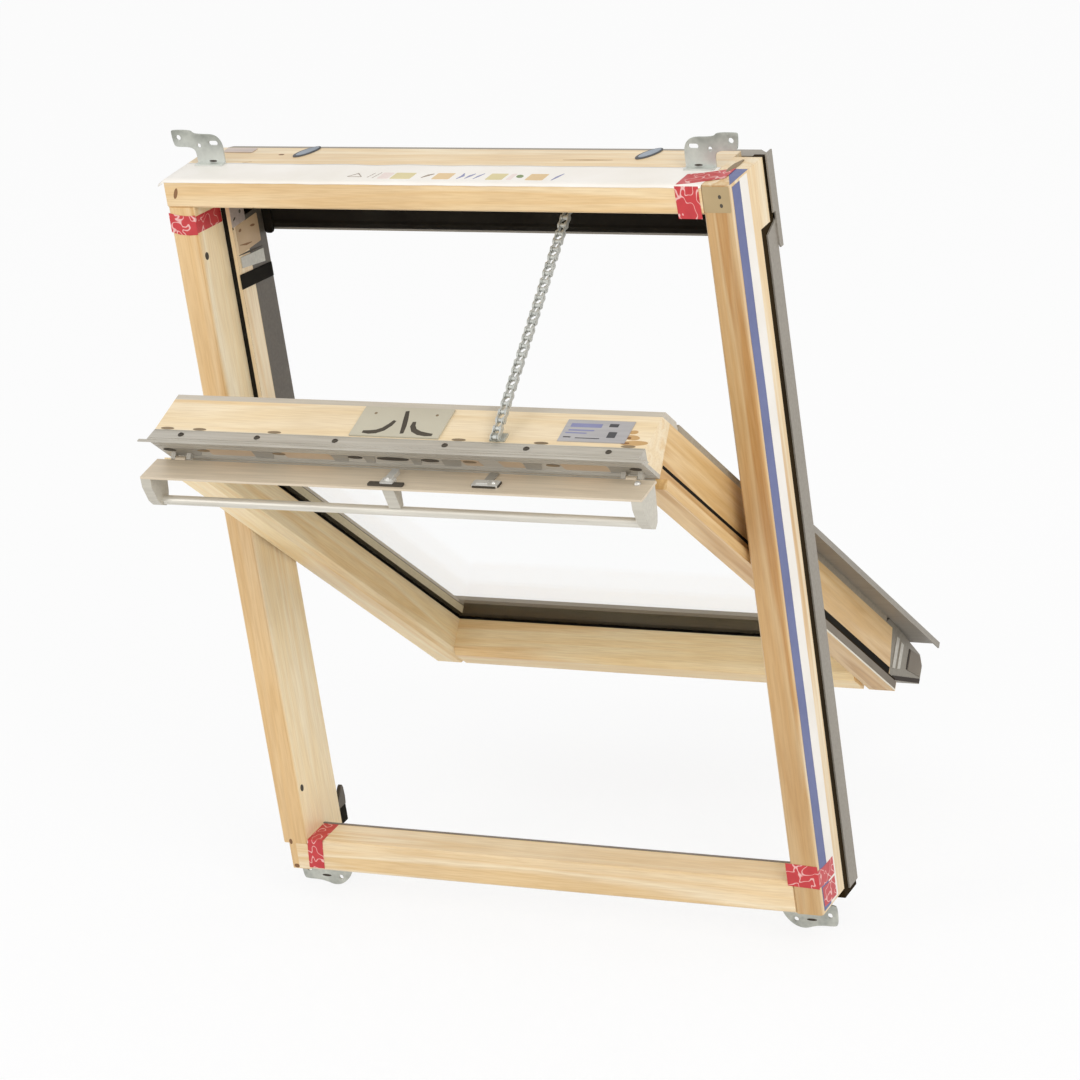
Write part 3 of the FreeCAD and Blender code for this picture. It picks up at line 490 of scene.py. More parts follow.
# The flap's warm tan is a painted reflection of the pine around it.
flap_tan_reflection = sheet_metal("flap_tan_reflection", (0.73, 0.62, 0.47), (0.62, 0.525, 0.39), 0.42, 0.1, True)
nose_grey = sheet_metal("nose_grey", (0.28, 0.25, 0.20), (0.22, 0.195, 0.155), 0.5, 0.1, True)
cap_grey = sheet_metal("cap_grey", (0.60, 0.57, 0.49), (0.52, 0.49, 0.42), 0.42, 0.1, True)
bar_silver = sheet_metal("bar_silver", (0.74, 0.71, 0.63), (0.60, 0.57, 0.50), 0.30, 0.3, True)
plate_beige = moulded("plate_beige", (0.57, 0.535, 0.42), (0.50, 0.46, 0.36), 0.5)
plate_grey = sheet_metal("plate_grey", (0.47, 0.46, 0.46), (0.40, 0.39, 0.40), 0.42, 0.1, True)
steel = zinc("zinc_steel")
# The upper brackets' zinc: painted shade over the plate and a painted highlight at its fold.
shaded_highlit_steel = zinc("shaded_highlit_zinc_steel", (1.008, 1.046))
seal = moulded("black_seal", (0.020, 0.018, 0.014), (0.012, 0.010, 0.008), 0.75, sheen=0.04)
core_brown = moulded("core_brown", (0.030, 0.018, 0.006), (0.018, 0.011, 0.004), 0.75, sheen=0.04)
sill_seal = moulded("sill_seal", (0.27, 0.24, 0.205), (0.20, 0.175, 0.15), 0.7, sheen=0.1)
glass = clear_glass("clear_glass")
pit_dark = moulded("pit_dark", (0.055, 0.04, 0.03), (0.03, 0.022, 0.016), 0.8)

LOOKS = {
    "frame_head": head_pine,
    "frame_sill": sill_pine,
    "frame_left_jamb": left_jamb_pine,
    "frame_right_jamb": right_jamb_pine,
    "sash_left_stile": left_stile_pine,
    "sash_right_stile": right_stile_pine,
    "sash_bottom_rail": rail_pine,
    "sash_top_rail": slope_pine,
    "bottom_nose": nose_grey,
    "sill_gasket": sill_seal,
    "sash_top_cladding": top_trim,
    "vent_profile": vent_grey,
    "vent_flap": flap_tan_reflection,
    "flap_centre_bracket": cap_grey,
    "lock_plate": plate_beige,
}
SIDE_LOOKS = {
    "{}_upper_stop": stop_pine,
    "{}_stop_cladding": dark_cladding,
    "sash_{}_cladding": sash_cladding,
    "{}_jamb_core": core_brown,
    "{}_sash_gasket": core_brown,
    "{}_flap_cap": cap_grey,
}
for form, look in SIDE_LOOKS.items():
    LOOKS[form.format("left")] = look
    LOOKS[form.format("right")] = look
SLOT_LOOKS = {
    "pine": stop_pine,
    "grey_cladding": cladding,
    "warm_grey": vent_grey,
    "silver_tube": bar_silver,
    "zinc_steel": steel,
    "black_seal": seal,
    "plate_grey": plate_grey,
    "clear_glass": glass,
}
slots = {item["node"]: item["material_slot"] for item in frame["record"]["subparts"]}
for node, piece in frame["nodes"].items():
    piece.data.materials.clear()
    piece.data.materials.append(LOOKS.get(node, SLOT_LOOKS[slots[node]]))

film = moulded("white_film", (0.90, 0.86, 0.80), (0.84, 0.79, 0.71), 0.34, 60, 0.12)
blue = moulded("blue_film", (0.125, 0.150, 0.325), (0.095, 0.115, 0.27), 0.4, 90, 0.12)
tape = red_tape("red_tape")
print_brown = moulded("print_brown", (0.36, 0.29, 0.22), (0.26, 0.20, 0.15), 0.5)
print_olive = moulded("print_olive", (0.72, 0.62, 0.33), (0.62, 0.53, 0.26), 0.45)
print_tan = moulded("print_tan", (0.76, 0.55, 0.29), (0.66, 0.46, 0.23), 0.45)
print_green = moulded("print_green", (0.20, 0.27, 0.10), (0.14, 0.20, 0.07), 0.45)
print_pink = moulded("print_pink", (0.84, 0.72, 0.67), (0.78, 0.65, 0.59), 0.45)
print_blue = moulded("print_blue", (0.27, 0.28, 0.45), (0.20, 0.21, 0.36), 0.45)
pad_blue = moulded("pad_blue_grey", (0.33, 0.37, 0.42), (0.24, 0.27, 0.31), 0.55)
pad_rim = moulded("pad_rim_dark", (0.10, 0.10, 0.105), (0.06, 0.06, 0.065), 0.6)
knot_brown = moulded("knot_brown", (0.30, 0.15, 0.06), (0.17, 0.085, 0.04), 0.6, 300)
tan_recess = moulded("tan_recess", (0.60, 0.46, 0.31), (0.48, 0.36, 0.24), 0.55)
slot_grey = moulded("tab_grey", (0.36, 0.335, 0.285), (0.28, 0.26, 0.22), 0.5)
slot_dark = moulded("slot_dark", (0.085, 0.07, 0.05), (0.045, 0.037, 0.027), 0.7)
slot_brown = moulded("slot_brown", (0.30, 0.22, 0.13), (0.20, 0.145, 0.085), 0.65)
pink_steel = sheet_metal("pink_steel", (0.62, 0.52, 0.46), (0.50, 0.41, 0.36), 0.36, 0.35)
bright_steel = sheet_metal("bright_steel", (0.74, 0.73, 0.69), (0.66, 0.65, 0.61), 0.34, 0.4)
chain_steel = sheet_metal("chain_steel", (0.62, 0.63, 0.59), (0.46, 0.47, 0.44), 0.34, 0.5)
clip_grey = sheet_metal("clip_grey", (0.56, 0.54, 0.47), (0.46, 0.44, 0.38), 0.36, 0.3)
pad_wood = moulded("pad_wood", (0.62, 0.45, 0.27), (0.50, 0.34, 0.19), 0.5, 240)
spacer_olive = sheet_metal("spacer_olive", (0.62, 0.53, 0.34), (0.50, 0.42, 0.26), 0.5, 0.1, True)
corner_olive = moulded("corner_olive", (0.46, 0.34, 0.18), (0.36, 0.26, 0.13), 0.5, 240)
strip_brown = moulded("strip_brown", (0.20, 0.165, 0.12), (0.15, 0.12, 0.085), 0.5)
edge_cream = moulded("edge_cream", (0.80, 0.75, 0.63), (0.72, 0.66, 0.54), 0.45)
amber_wood = moulded("amber_wood", (0.60, 0.38, 0.17), (0.50, 0.30, 0.12), 0.5, 240)


def opened(y, z):
    """A point of the closed sash after it is turned open, in window coordinates."""
    turned = on_sash((0, y, z)) / MM + ORIGIN
    return turned.y, turned.z


def link_outline(start, end, radius, waist, steps=8):
    """A chain plate: two round ends joined by a waist."""
    outline = []
    for centre, first, side in ((start, 60, -1), (end, -120, 1)):
        for i in range(steps + 1):
            angle = math.radians(first + 240 * i / steps)
            outline.append((centre + radius * math.cos(angle), radius * math.sin(angle)))
        outline.append(((start + end) / 2, side * waist))
    return outline


# Push chain: outer and inner plates in turn, with rollers between and pins through them.
CHAIN_X = 530
CHAIN_LINKS = 30
LINK_RADIUS = 4.4
LINK_WAIST = 2.6
OUTER_PLATES = (4.3, 5.5)
INNER_PLATES = (2.9, 4.1)
ROLLER_RADIUS = 2.9
ROLLER_HALF = 2.7
PIN_RADIUS = 1.5
PIN_HALF = 5.9
chain_foot = Vector((CHAIN_X, *opened(82, 926.8)))
chain_exit = Vector((CHAIN_X, 84, 937.2))
chain_way = chain_exit - chain_foot
CHAIN = Patch(chain_foot, chain_way, (0, -chain_way.z, chain_way.y))
pitch = chain_way.length / CHAIN_LINKS
chain_shapes = []
for i in range(CHAIN_LINKS):
    plate = link_outline(i * pitch, (i + 1) * pitch, LINK_RADIUS, LINK_WAIST)
    near, far = (OUTER_PLATES, INNER_PLATES)[i % 2]
    chain_shapes += [raised(CHAIN, plate, near, far), raised(CHAIN, plate, -far, -near)]
for i in range(CHAIN_LINKS + 1):
    roller = oval(i * pitch, 0, ROLLER_RADIUS, ROLLER_RADIUS, count=14)
    pin = oval(i * pitch, 0, PIN_RADIUS, PIN_RADIUS, count=12)
    chain_shapes.append(raised(CHAIN, roller, -ROLLER_HALF, ROLLER_HALF))
    chain_shapes.append(raised(CHAIN, pin, -PIN_HALF, PIN_HALF))
chain_piece = add_piece("chain_links", "frame", join(chain_shapes), chain_steel)
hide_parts("drive_chain")
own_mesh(chain_piece)


def quilt(patch, rows, thick):
    """A thin closed skin over a grid of points on a patch."""
    count = len(rows[0])
    size = len(rows) * count
    points = [patch(a, b, c + off) for off in (thick, 0) for row in rows for a, b, c in row]
    faces = []
    for r in range(len(rows) - 1):
        for i in range(count - 1):
            quad = [r * count + i, r * count + i + 1, (r + 1) * count + i + 1, (r + 1) * count + i]
            faces.append(quad)
            faces.append([size + k for k in quad[::-1]])
    rim = list(range(count))
    rim += [(r + 1) * count - 1 for r in range(1, len(rows))]
    rim += [size - 2 - i for i in range(count - 1)]
    rim += [r * count for r in range(len(rows) - 2, 0, -1)]
    for i, near in enumerate(rim):
        far = rim[(i + 1) % len(rim)]
        faces.append([far, near, size + near, size + far])
    return points, faces


def ripple(a, b, scale, seed):
    """A smooth unevenness, finer across than along."""
    return noise.noise(Vector((a * scale, b * scale * 2.5, seed)))


# White film over the front half of the head, folded over its front edge and hanging at the left.
FOLD = ((-0.45, -3.4), (-0.4, -2.3), (0.9, -0.9), (2.3, 0.15))
FOLD_END = FOLD[-1][0]
FILM_LEFT = -9
FILM_LENGTH = 752
FILM_EDGE = 64
FILM_ROWS = 13
FILM_COLUMNS = 76
film_rows = []
for step in range(len(FOLD) + FILM_ROWS):
    row = []
    for i in range(FILM_COLUMNS + 1):
        a = FILM_LEFT + FILM_LENGTH * i / FILM_COLUMNS
        droop = -0.075 * a * a if a < 0 else 0.0
        if step < len(FOLD):
            b, c = FOLD[step]
            c += 0.7 * ripple(a, step, 0.03, 1.0) * (step == 0)
        else:
            share = (step - len(FOLD) + 1) / FILM_ROWS
            edge = FILM_EDGE + 3 * ripple(a, 0, 0.02, 4.0)
            b = FOLD_END + (edge - FOLD_END) * share
            c = 0.3 + 0.25 * abs(ripple(a, b, 0.022, 7.0))
        row.append((a, b, c + droop))
    film_rows.append(row)
add_piece("head_film", "frame", quilt(HEAD_TOP, film_rows, 0.2), film, smooth=True)


BAND_STEPS = 48
BAND_COLUMNS = 4
BAND_LIFT = 0.05
BAND_THICK = 0.25
BAND_SWAY = 0.9


def band(patch, low_a, high_a, low_b, high_b, seed, along_b):
    """A long film strip with slightly wavy edges, along the patch's first or second direction."""
    rows = []
    columns = range(BAND_COLUMNS + 1)
    for step in range(BAND_STEPS + 1):
        share = step / BAND_STEPS
        if along_b:
            b = low_b + (high_b - low_b) * share
            near = low_a + BAND_SWAY * ripple(b, 0, 0.012, seed)
            rows.append([(near + (high_a - low_a) * k / BAND_COLUMNS, b, BAND_LIFT) for k in columns])
        else:
            a = low_a + (high_a - low_a) * share
            near = low_b + BAND_SWAY * ripple(a, 0, 0.012, seed)
            rows.append([(a, near + (high_b - low_b) * k / BAND_COLUMNS, BAND_LIFT) for k in columns])
    return quilt(patch, rows, BAND_THICK)


STRIPES = (
    ("right_blue_stripe", RIGHT_SIDE, (7, 30, 3, 976), 2.0, True, blue),
    ("right_white_band", RIGHT_SIDE, (30.5, 54, 3, 978), 3.0, True, film),
    ("left_blue_stripe", LEFT_SIDE, (42, 976, 7, 30), 5.0, False, blue),
    ("left_white_band", LEFT_SIDE, (42, 940, 30.5, 54), 6.0, False, film),
)
for name, side, limits, seed, along_b, look in STRIPES:
    add_piece(name, "frame", band(side, *limits, seed, along_b), look)
blue_fold = [(779.5, 3), (763, 40), (758, 60), (779.5, 60)]
add_piece("right_blue_fold", "frame", raised(HEAD_TOP, blue_fold, 0.05, 0.3), blue)
fold_edge = stroke([(757, 48), (758, 60), (759, 76), (761, 92)], 9)
add_piece("right_fold_edge", "frame", raised(HEAD_TOP, fold_edge, 0.05, 1.2), slot_brown, 0.3)


TAPE_LIFT = 0.12
TAPE_THICK = 0.4
TAPE_COLUMNS = (-1, -0.5, 0, 0.5, 1)
UPWARD = (0, 1)
SIDEWAYS = (1, 0)


def ribbon(patch, line, width, lift, across):
    """A strip of tape along a line on a patch; its sides lie along a given direction."""
    half_a = across[0] * width / 2
    half_b = across[1] * width / 2
    rows = [[(a + half_a * k, b + half_b * k, lift) for k in TAPE_COLUMNS] for a, b in line]
    return quilt(patch, rows, TAPE_THICK)


def path(points, steps=6):
    """Points in even steps along a broken line."""
    line = []
    for (a, b), (c, d) in zip(points, points[1:]):
        line += [(a + (c - a) * i / steps, b + (d - b) * i / steps) for i in range(steps)]
    return line + [points[-1]]


TAPES = {
    "upper_left_tape_front": (FRONT, [(-0.4, 923), (12, 920), (25, 919), (37.4, 920)], 26, UPWARD),
    "upper_left_tape_reveal": (LEFT_REVEAL, [(-0.4, 920), (30, 917), (62, 914)], 22, UPWARD),
    "upper_right_tape_front": (FRONT, [(724, 979), (724, 962), (725, 938)], 31, SIDEWAYS),
    "upper_right_tape_top": (HEAD_TOP, [(710, 20), (728, 25), (748, 35), (764, 43)], 36, UPWARD),
    "lower_left_tape_top": (SILL_UPPER, [(50, 47), (50, 24), (50, -0.4)], 23, SIDEWAYS),
    "lower_left_tape_front": (FRONT, [(50, 45.4), (48, 30), (46, 3)], 23, SIDEWAYS),
    "lower_right_tape_front": (FRONT, [(737, 56), (760, 55), (780.4, 54)], 32, UPWARD),
    "lower_right_tape_side": (RIGHT_SIDE, [(-0.4, 52), (16, 49), (34, 48), (50, 48)], 24, UPWARD),
    "lower_right_tape_patch": (RIGHT_SIDE, [(9, 22), (28, 20), (49, 19)], 27, UPWARD),
}
OVER_FILM = 0.6
for name, (patch, points, width, across) in TAPES.items():
    lift = OVER_FILM if patch is HEAD_TOP else TAPE_LIFT
    add_piece(name, "frame", ribbon(patch, path(points), width, lift, across), tape)


def many(patch, outlines, low, high):
    """Prisms of one height over several outlines, as one shape."""
    return join([raised(patch, outline, low, high) for outline in outlines])


# Pictogram strip on the film: plain blocks and strokes.
PRINT_LOW = 0.45
PRINT_HIGH = 0.75
pict_lines = [
    stroke([(256, 18), (266, 30), (276, 18)], 2.2),
    stroke([(256, 18), (276, 18)], 1.6),
    stroke([(285, 16), (289, 32)], 2.2),
    stroke([(293, 14), (297, 34)], 2.4),
    stroke([(360, 17), (366, 26), (372, 31)], 5),
]
add_piece("head_print_lines", "frame", many(HEAD_TOP, pict_lines, 0.5, 0.85), print_brown)
BLOCKS = {
    "olive": (print_olive, ((318, 346), (450, 473))),
    "tan": (print_tan, ((376, 400), (504, 528))),
    "pink": (print_pink, ((300, 315), (478, 485))),
}
for tint, (look, spans) in BLOCKS.items():
    outlines = [rounded(low, 12, high, 34, 1.5) for low, high in spans]
    block_print = many(HEAD_TOP, outlines, PRINT_LOW, PRINT_HIGH)
    add_piece(f"head_print_{tint}", "frame", block_print, look)
figures = [
    stroke([(410, 14), (414, 24), (412, 34)], 5),
    stroke([(421, 15), (424, 25), (428, 33)], 5),
    stroke([(433, 14), (436, 24), (440, 34)], 4),
    stroke([(540, 12), (543, 24), (547, 36)], 4),
]
figure_print = many(HEAD_TOP, figures, PRINT_LOW, PRINT_HIGH)
add_piece("head_print_figures", "frame", figure_print, print_blue)
mark_print = raised(HEAD_TOP, oval(492, 25, 4.5, 6, 0.6), PRINT_LOW, PRINT_HIGH)
add_piece("head_print_mark", "frame", mark_print, print_green)

# Two slanted oval pads, a flat strip and small marks on the bare half of the head.
PAD_TURN = math.radians(66)
pads = [(150, 110), (627, 112)]
pad_rims = [oval(a, b, 22, 9.5, PAD_TURN) for a, b in pads]
pad_tops = [oval(a + 0.8, b + 0.6, 18.5, 6.8, PAD_TURN) for a, b in pads]
add_piece("head_pad_rims", "frame", many(HEAD_TOP, pad_rims, 0.05, 1.4), pad_rim, 0.4)
add_piece("head_pads", "frame", many(HEAD_TOP, pad_tops, 1.4, 2.0), pad_blue, 0.3)
flat_strip = raised(HEAD_TOP, rounded(28, 106, 72, 122, 2), 0.05, 1.2)
add_piece("head_flat_strip", "frame", flat_strip, pink_steel, 0.3)
marks = [
    stroke([(521, 88), (555, 88.6), (588, 89)], 2.2),
    oval(118, 100, 4, 2.2),
    stroke([(76, 66), (90, 72)], 2),
]
add_piece("head_marks", "frame", many(HEAD_TOP, marks, CLEAR, 0.16), knot_brown)

# Front and reveal: corner block, foot lap, nail holes, screw holes and knots.
corner_block = raised(FRONT, rounded(744, 946, 779, 979, 2), CLEAR, 0.3)
add_piece("right_corner_block", "frame", corner_block, corner_olive)
front_pits = [oval(766, 966, 2.0, 2.6), oval(767, 955, 2.0, 2.6)]
add_piece("right_jamb_nails", "frame", many(FRONT, front_pits, 0.3, 0.5), slot_dark)
foot_lap = raised(FRONT, rounded(19, 1, 37, 38, 1), CLEAR, 0.4)
add_piece("left_foot_lap", "frame", foot_lap, sill_pine, 0.15)
reveal_pits = [oval(12.1, 874, 4.2, 5.4, 0.3), oval(11.4, 117, 4.0, 5.2, 0.3)]
add_piece("left_jamb_holes", "frame", many(LEFT_REVEAL, reveal_pits, CLEAR, 0.2), slot_dark)
front_knots = [oval(15, 962, 2.6, 7.5, -0.35), oval(15, 3.6, 4, 3), oval(12, 40, 2.4, 4)]
add_piece("front_knots", "frame", many(FRONT, front_knots, CLEAR, 0.12), knot_brown)

# Left stop: strike plate, clip, wooden pad, pale edges, the end of the hood's lining and a strap.
strike = raised(LEFT_STOP, rounded(63, 893, 97, 942, 2), 0.05, 1.0)
add_piece("left_strike_plate", "frame", strike, pink_steel, 0.3)
strike_slots = [oval(72, 922, 5, 2, 0.2), oval(86, 908, 2.6, 2.6), oval(70, 903, 3.5, 1.4, 0.4)]
add_piece("left_strike_slots", "frame", many(LEFT_STOP, strike_slots, 1.0, 1.12), slot_dark)
clip_outline = [(70, 836), (128, 825), (128, 843), (70, 851)]
clip = raised(LEFT_STOP, clip_outline, 0.05, 1.2)
add_piece("left_stop_clip", "frame", clip, clip_grey, 0.4)
# A dark stroke just above the clip is a painted shadow.
clip_shadow_line = raised(LEFT_STOP, stroke([(68, 854), (98, 850), (128, 846)], 3), CLEAR, 0.3)
add_piece("left_clip_painted_shadow", "frame", clip_shadow_line, slot_dark)
stop_pad = raised(LEFT_STOP, rounded(70, 854, 127, 892, 2), CLEAR, 0.4)
add_piece("left_stop_pad", "frame", stop_pad, pad_wood)
pad_marks = [
    oval(80, 884, 3.5, 2),
    oval(112, 880, 6, 1.6, -0.2),
    stroke([(74, 866), (90, 862), (104, 860)], 3),
]
add_piece("left_stop_pad_marks", "frame", many(LEFT_STOP, pad_marks, 0.4, 0.55), knot_brown)
stop_edges = join([
    raised(STOP_FRONT, rounded(44, 575, 49.4, 936, 0.5, 2), CLEAR, 0.3),
    raised(LEFT_STOP, rounded(63.5, 575, 66, 890, 0.5, 2), CLEAR, 0.3),
])
add_piece("left_stop_edges", "frame", stop_edges, stop_pine)
lining_end = raised(HOOD_LINING, rounded(50, 859, 63, 902, 5), 0.0, 4.6)
add_piece("hood_lining_end", "frame", lining_end, seal, 1.0)
strap_outline = [(61, 810), (142, 800), (142, 819), (61, 830)]
strap = raised(LEFT_STOP, strap_outline, 0.05, 1.6)
add_piece("left_stop_strap", "frame", strap, seal, 0.5)

# Ventilation profile: grey tabs, tan recess strips, oval slots, ribs, screws and spots at its edge.
TABS = ((74, 113), (188, 216), (299, 321), (343, 358), (408, 421), (450, 475), (560, 583), (672, 700))
RECESSES = ((125, 189), (232, 299), (478, 502), (529, 560), (611, 672))
tab_outlines = [[(a - 3, 16), (b - 6, 16), (b + 4, 38), (a + 2, 38)] for a, b in TABS]
add_piece("vent_tabs", "sash", many(VENT_FACE, tab_outlines, -CLEAR, 0.6), slot_grey, 0.3)
recess_outlines = [rounded(a, 20, b, 40, 2) for a, b in RECESSES]
add_piece("vent_recesses", "sash", many(VENT_FACE, recess_outlines, -CLEAR, 0.25), tan_recess)
DARK_SLOTS = ((70, 9, 4.6), (332, 10, 4.4), (384, 22, 5.2), (435, 12, 5), (708, 8, 4.6))
dark_slots = [oval(a, 33, half, tall) for a, half, tall in DARK_SLOTS]
add_piece("vent_dark_slots", "sash", many(VENT_FACE, dark_slots, 0.25, 0.8), slot_dark)
brown_slots = [oval(a, 34, 9, 4) for a in (119, 226, 489, 600)]
add_piece("vent_brown_slots", "sash", many(VENT_FACE, brown_slots, 0.25, 0.7), slot_brown)
face_ribs = [rounded(VENT_LEFT, b, VENT_RIGHT, b + 1.6, 0.7, 2) for b in (12, 43, 50, 56)]
add_piece("vent_face_ribs", "sash", many(VENT_FACE, face_ribs, -CLEAR, 0.5), vent_grey)
slope_ribs = [rounded(VENT_LEFT, b, VENT_RIGHT, b + 1.5, 0.7, 2) for b in (3.5, 8.0, 25.5)]
add_piece("vent_slope_ribs", "sash", many(VENT_SLOPE, slope_ribs, -CLEAR, 0.55), vent_grey)
SCREWS = (98, 206, 315, 465, 574, 682)
heads = join([dome(VENT_SLOPE, a, 17, 4, 2.4) for a in SCREWS])
add_piece("vent_screws", "sash", heads, slot_dark, smooth=True)
crosses = []
for a in SCREWS:
    crosses.append(rounded(a - 1.6, 16.6, a + 1.6, 17.4, 0.3, 2))
    crosses.append(rounded(a - 0.4, 15.4, a + 0.4, 18.6, 0.3, 2))
add_piece("vent_screw_slots", "sash", many(VENT_SLOPE, crosses, 2.1, 2.5), pit_dark)
edge_spots = [oval(a, 2.4, 9.5, 2.4) for a in (72, 118, 224, 478, 588, 702)]
add_piece("slope_edge_spots", "sash", many(TIMBER_SLOPE, edge_spots, CLEAR, 0.3), slot_brown)

# Lock plate: a slanted slot between two curved ones; data plate: plain bars.
LOCK_TOP = 2.5
DATA_TOP = 1.0
left_curve = [(345, 8), (354, 7.5), (363, 9), (371, 14), (377, 23), (380, 31)]
right_curve = [(407, 30), (408, 22), (413, 14), (422, 9), (432, 7), (441, 6.5)]
lock_slots = [
    stroke(left_curve, 7.5, 0.6),
    stroke(right_curve, 7.5, 0.6),
    stroke([(399, 7), (396.5, 21), (393, 35), (389, 50)], 6.5, 0.75),
]
lock_dark = many(TIMBER_SLOPE, lock_slots, LOCK_TOP - 0.05, LOCK_TOP + 0.12)
add_piece("lock_slots", "sash", lock_dark, slot_dark)
lock_pits = [oval(CENTRE - 42, 44, 2, 2), oval(CENTRE + 42, 44, 2, 2)]
lock_brown = many(TIMBER_SLOPE, lock_pits, LOCK_TOP - 0.05, LOCK_TOP + 0.1)
add_piece("lock_pits", "sash", lock_brown, slot_brown)
DATA_BARS = ((614, 34, 655, 41), (614, 27, 648, 29.5), (612, 22, 640, 24))
DATA_BLOCKS = ((664, 36, 676, 42), (668, 16, 679, 27), (612, 14, 622, 16), (628, 13, 660, 14.5))
for name, boxes, look in (("data_bars", DATA_BARS, print_blue), ("data_blocks", DATA_BLOCKS, pad_rim)):
    outlines = [rounded(*box, 0.6, 2) for box in boxes]
    data_print = many(TIMBER_SLOPE, outlines, DATA_TOP - 0.05, DATA_TOP + 0.1)
    add_piece(name, "sash", data_print, look)


def both_sides(name, right, left, spans, high, look, slot):
    """Long strips (depth and height from, to) on the outer faces of both stiles."""
    shapes = []
    for low_y, low_z, high_y, high_z in spans:
        shapes.append(raised(right, rounded(low_y, low_z, high_y, high_z, 1, 2), CLEAR, high))
        shapes.append(raised(left, rounded(low_z, low_y, high_z, high_y, 1, 2), CLEAR, high))
    add_piece(name, "sash", join(shapes), look)


# Stiles: black joint line, brown strip on the flange with a cream edge.
STILES = (RIGHT_STILE, LEFT_STILE)
FLANGES = (RIGHT_FLANGE, LEFT_FLANGE)
both_sides("stile_lines", *STILES, [(72, 440, 76, 866), (63, 60, 76, 440)], 0.5, seal, "black_seal")
both_sides("flange_strips", *FLANGES, [(47.6, 56, 57.8, 440)], 0.5, strip_brown, "grey_cladding")
both_sides("flange_edges", *FLANGES, [(45.2, 56, 47.5, 440)], 0.45, edge_cream, "pine")

# Glazing: olive faces of the spacer at both sides and a black one below, black seal and brown strip
# on the lip below the glass. A grey strip lies on the top rail's ledge under the ventilation profile.
SPACER_LEFT = Patch((97, 0, 0), Y_AXIS, Z_AXIS)
SPACER_RIGHT = Patch((683, 0, 0), Z_AXIS, Y_AXIS)
LIP_TOP = Patch((0, 0, 97), X_AXIS, Y_AXIS)
SPACER_FLOOR = Patch((0, 0, 107), X_AXIS, Y_AXIS)
spacer_faces = join([
    raised(SPACER_LEFT, rounded(103, 110, 113, 829, 0.5, 2), CLEAR, 0.3),
    raised(SPACER_RIGHT, rounded(110, 103, 829, 113, 0.5, 2), CLEAR, 0.3),
])
add_piece("spacer_faces", "sash", spacer_faces, spacer_olive)
lip_seal = raised(LIP_TOP, rounded(90, 118.4, 690, 123, 1, 2), CLEAR, 0.5)
add_piece("glass_lip_seal", "sash", lip_seal, seal)
spacer_floor = raised(SPACER_FLOOR, rounded(98, 103, 682, 113, 0.5, 2), CLEAR, 0.3)
add_piece("spacer_floor", "sash", spacer_floor, seal)
lip_strip = raised(LIP_TOP, rounded(90, 123.2, 690, 127.8, 0.8, 2), CLEAR, 0.4)
add_piece("glass_lip_strip", "sash", lip_strip, strip_brown)
ledge_strip = raised(RAIL_LEDGE, rounded(60, 50, 720, 57.6, 0.5, 2), CLEAR, 0.4)
add_piece("rail_ledge_strip", "sash", ledge_strip, vent_grey)

# Right end of the nose: two grey fillets, a brown box end and dark edge marks.
NOSE_END = Patch((SASH_RIGHT, 0, 0), Y_AXIS, Z_AXIS)
fillets = [[(78, 52), (122, 52), (122, 42), (80, 42)], [(82, 34), (120, 34), (119, 24), (85, 24)]]
add_piece("nose_end_fillets", "sash", many(NOSE_END, fillets, CLEAR, 1.2), vent_grey, 0.3)
box_end = [(92, -5), (121, -5), (124, -40), (113, -53), (97, -53)]
add_piece("nose_end_box", "sash", raised(NOSE_END, box_end, CLEAR, 0.8), strip_brown, 0.2)
nose_marks = [
    stroke([(92, -1), (106, -1), (121, -1)], 4, 0.8),
    [(63, 46), (69, 46), (95, -54.5), (89, -54.5)],
]
add_piece("nose_end_marks", "sash", many(NOSE_END, nose_marks, CLEAR, 0.7), pit_dark)

# Amber patch on the slope beside the data plate.
amber_streaks = [
    oval(707, 9, 18, 4.5, 0.05),
    oval(701, 19, 10, 4.5, -0.1),
    oval(699, 29, 6, 3.5, 0.1),
]
amber_patch = many(TIMBER_SLOPE, amber_streaks, CLEAR, 0.2)
add_piece("slope_amber_patch", "sash", amber_patch, amber_wood)
amber_knots = many(TIMBER_SLOPE, [oval(697, 18, 3.2, 2.0), oval(696, 8, 5.5, 1.8, 0.1)], 0.2, 0.3)
add_piece("slope_amber_knots", "sash", amber_knots, knot_brown)

# Fixing brackets: sheet plates with holes and slots, each with a foot on the frame.
BRACKET_MIRROR = 755
SHEET_STEEL = 2.5
FOOT_FRONT = 52
FOOT_BACK = 63
UPPER_LINE = [
    (17, 0), (17, 15), (14.5, 20), (7, 22.5), (-10, 22.5), (-14, 25), (-16, 43), (-14, 45), (12, 45),
    (16, 40.5), (27, 39.5), (42, 39.5), (50, 36.5), (55, 30), (57, 22), (57, 0),
]
LOWER_LINE = [
    (8, 0), (8, 10), (6, 16), (-4, 19), (-15, 20), (-17, 24), (-17, 36), (-15.5, 48), (-12, 50.5),
    (8, 50.5), (20, 53), (28, 56), (36, 56), (44, 53.5), (51, 48), (57, 41), (61, 32), (61, 0),
]
UPPER_HOLES = [oval(-6, 35, 3.5, 3.5), rounded(37.5, 25, 50.5, 31, 2.9), oval(22.5, 24.5, 2.8, 2.8)]
LOWER_HOLES = [oval(-6, 35, 3.5, 3.5), oval(44, 28, 3.5, 3.5), oval(42, 44, 3.2, 3.2)]
UPPER_MARK = oval(40, 4.2, 5.5, 1.2)
LOWER_MARK = oval(20, 43, 7, 1.6)


def bracket_loop(side, level, line):
    """An outline drawn for the left end of the head, moved to its corner of the frame."""
    mirrored = [(x if side == "left" else BRACKET_MIRROR - x, rise) for x, rise in line]
    return [(x, HEIGHT + rise if level == "upper" else -rise) for x, rise in mirrored]


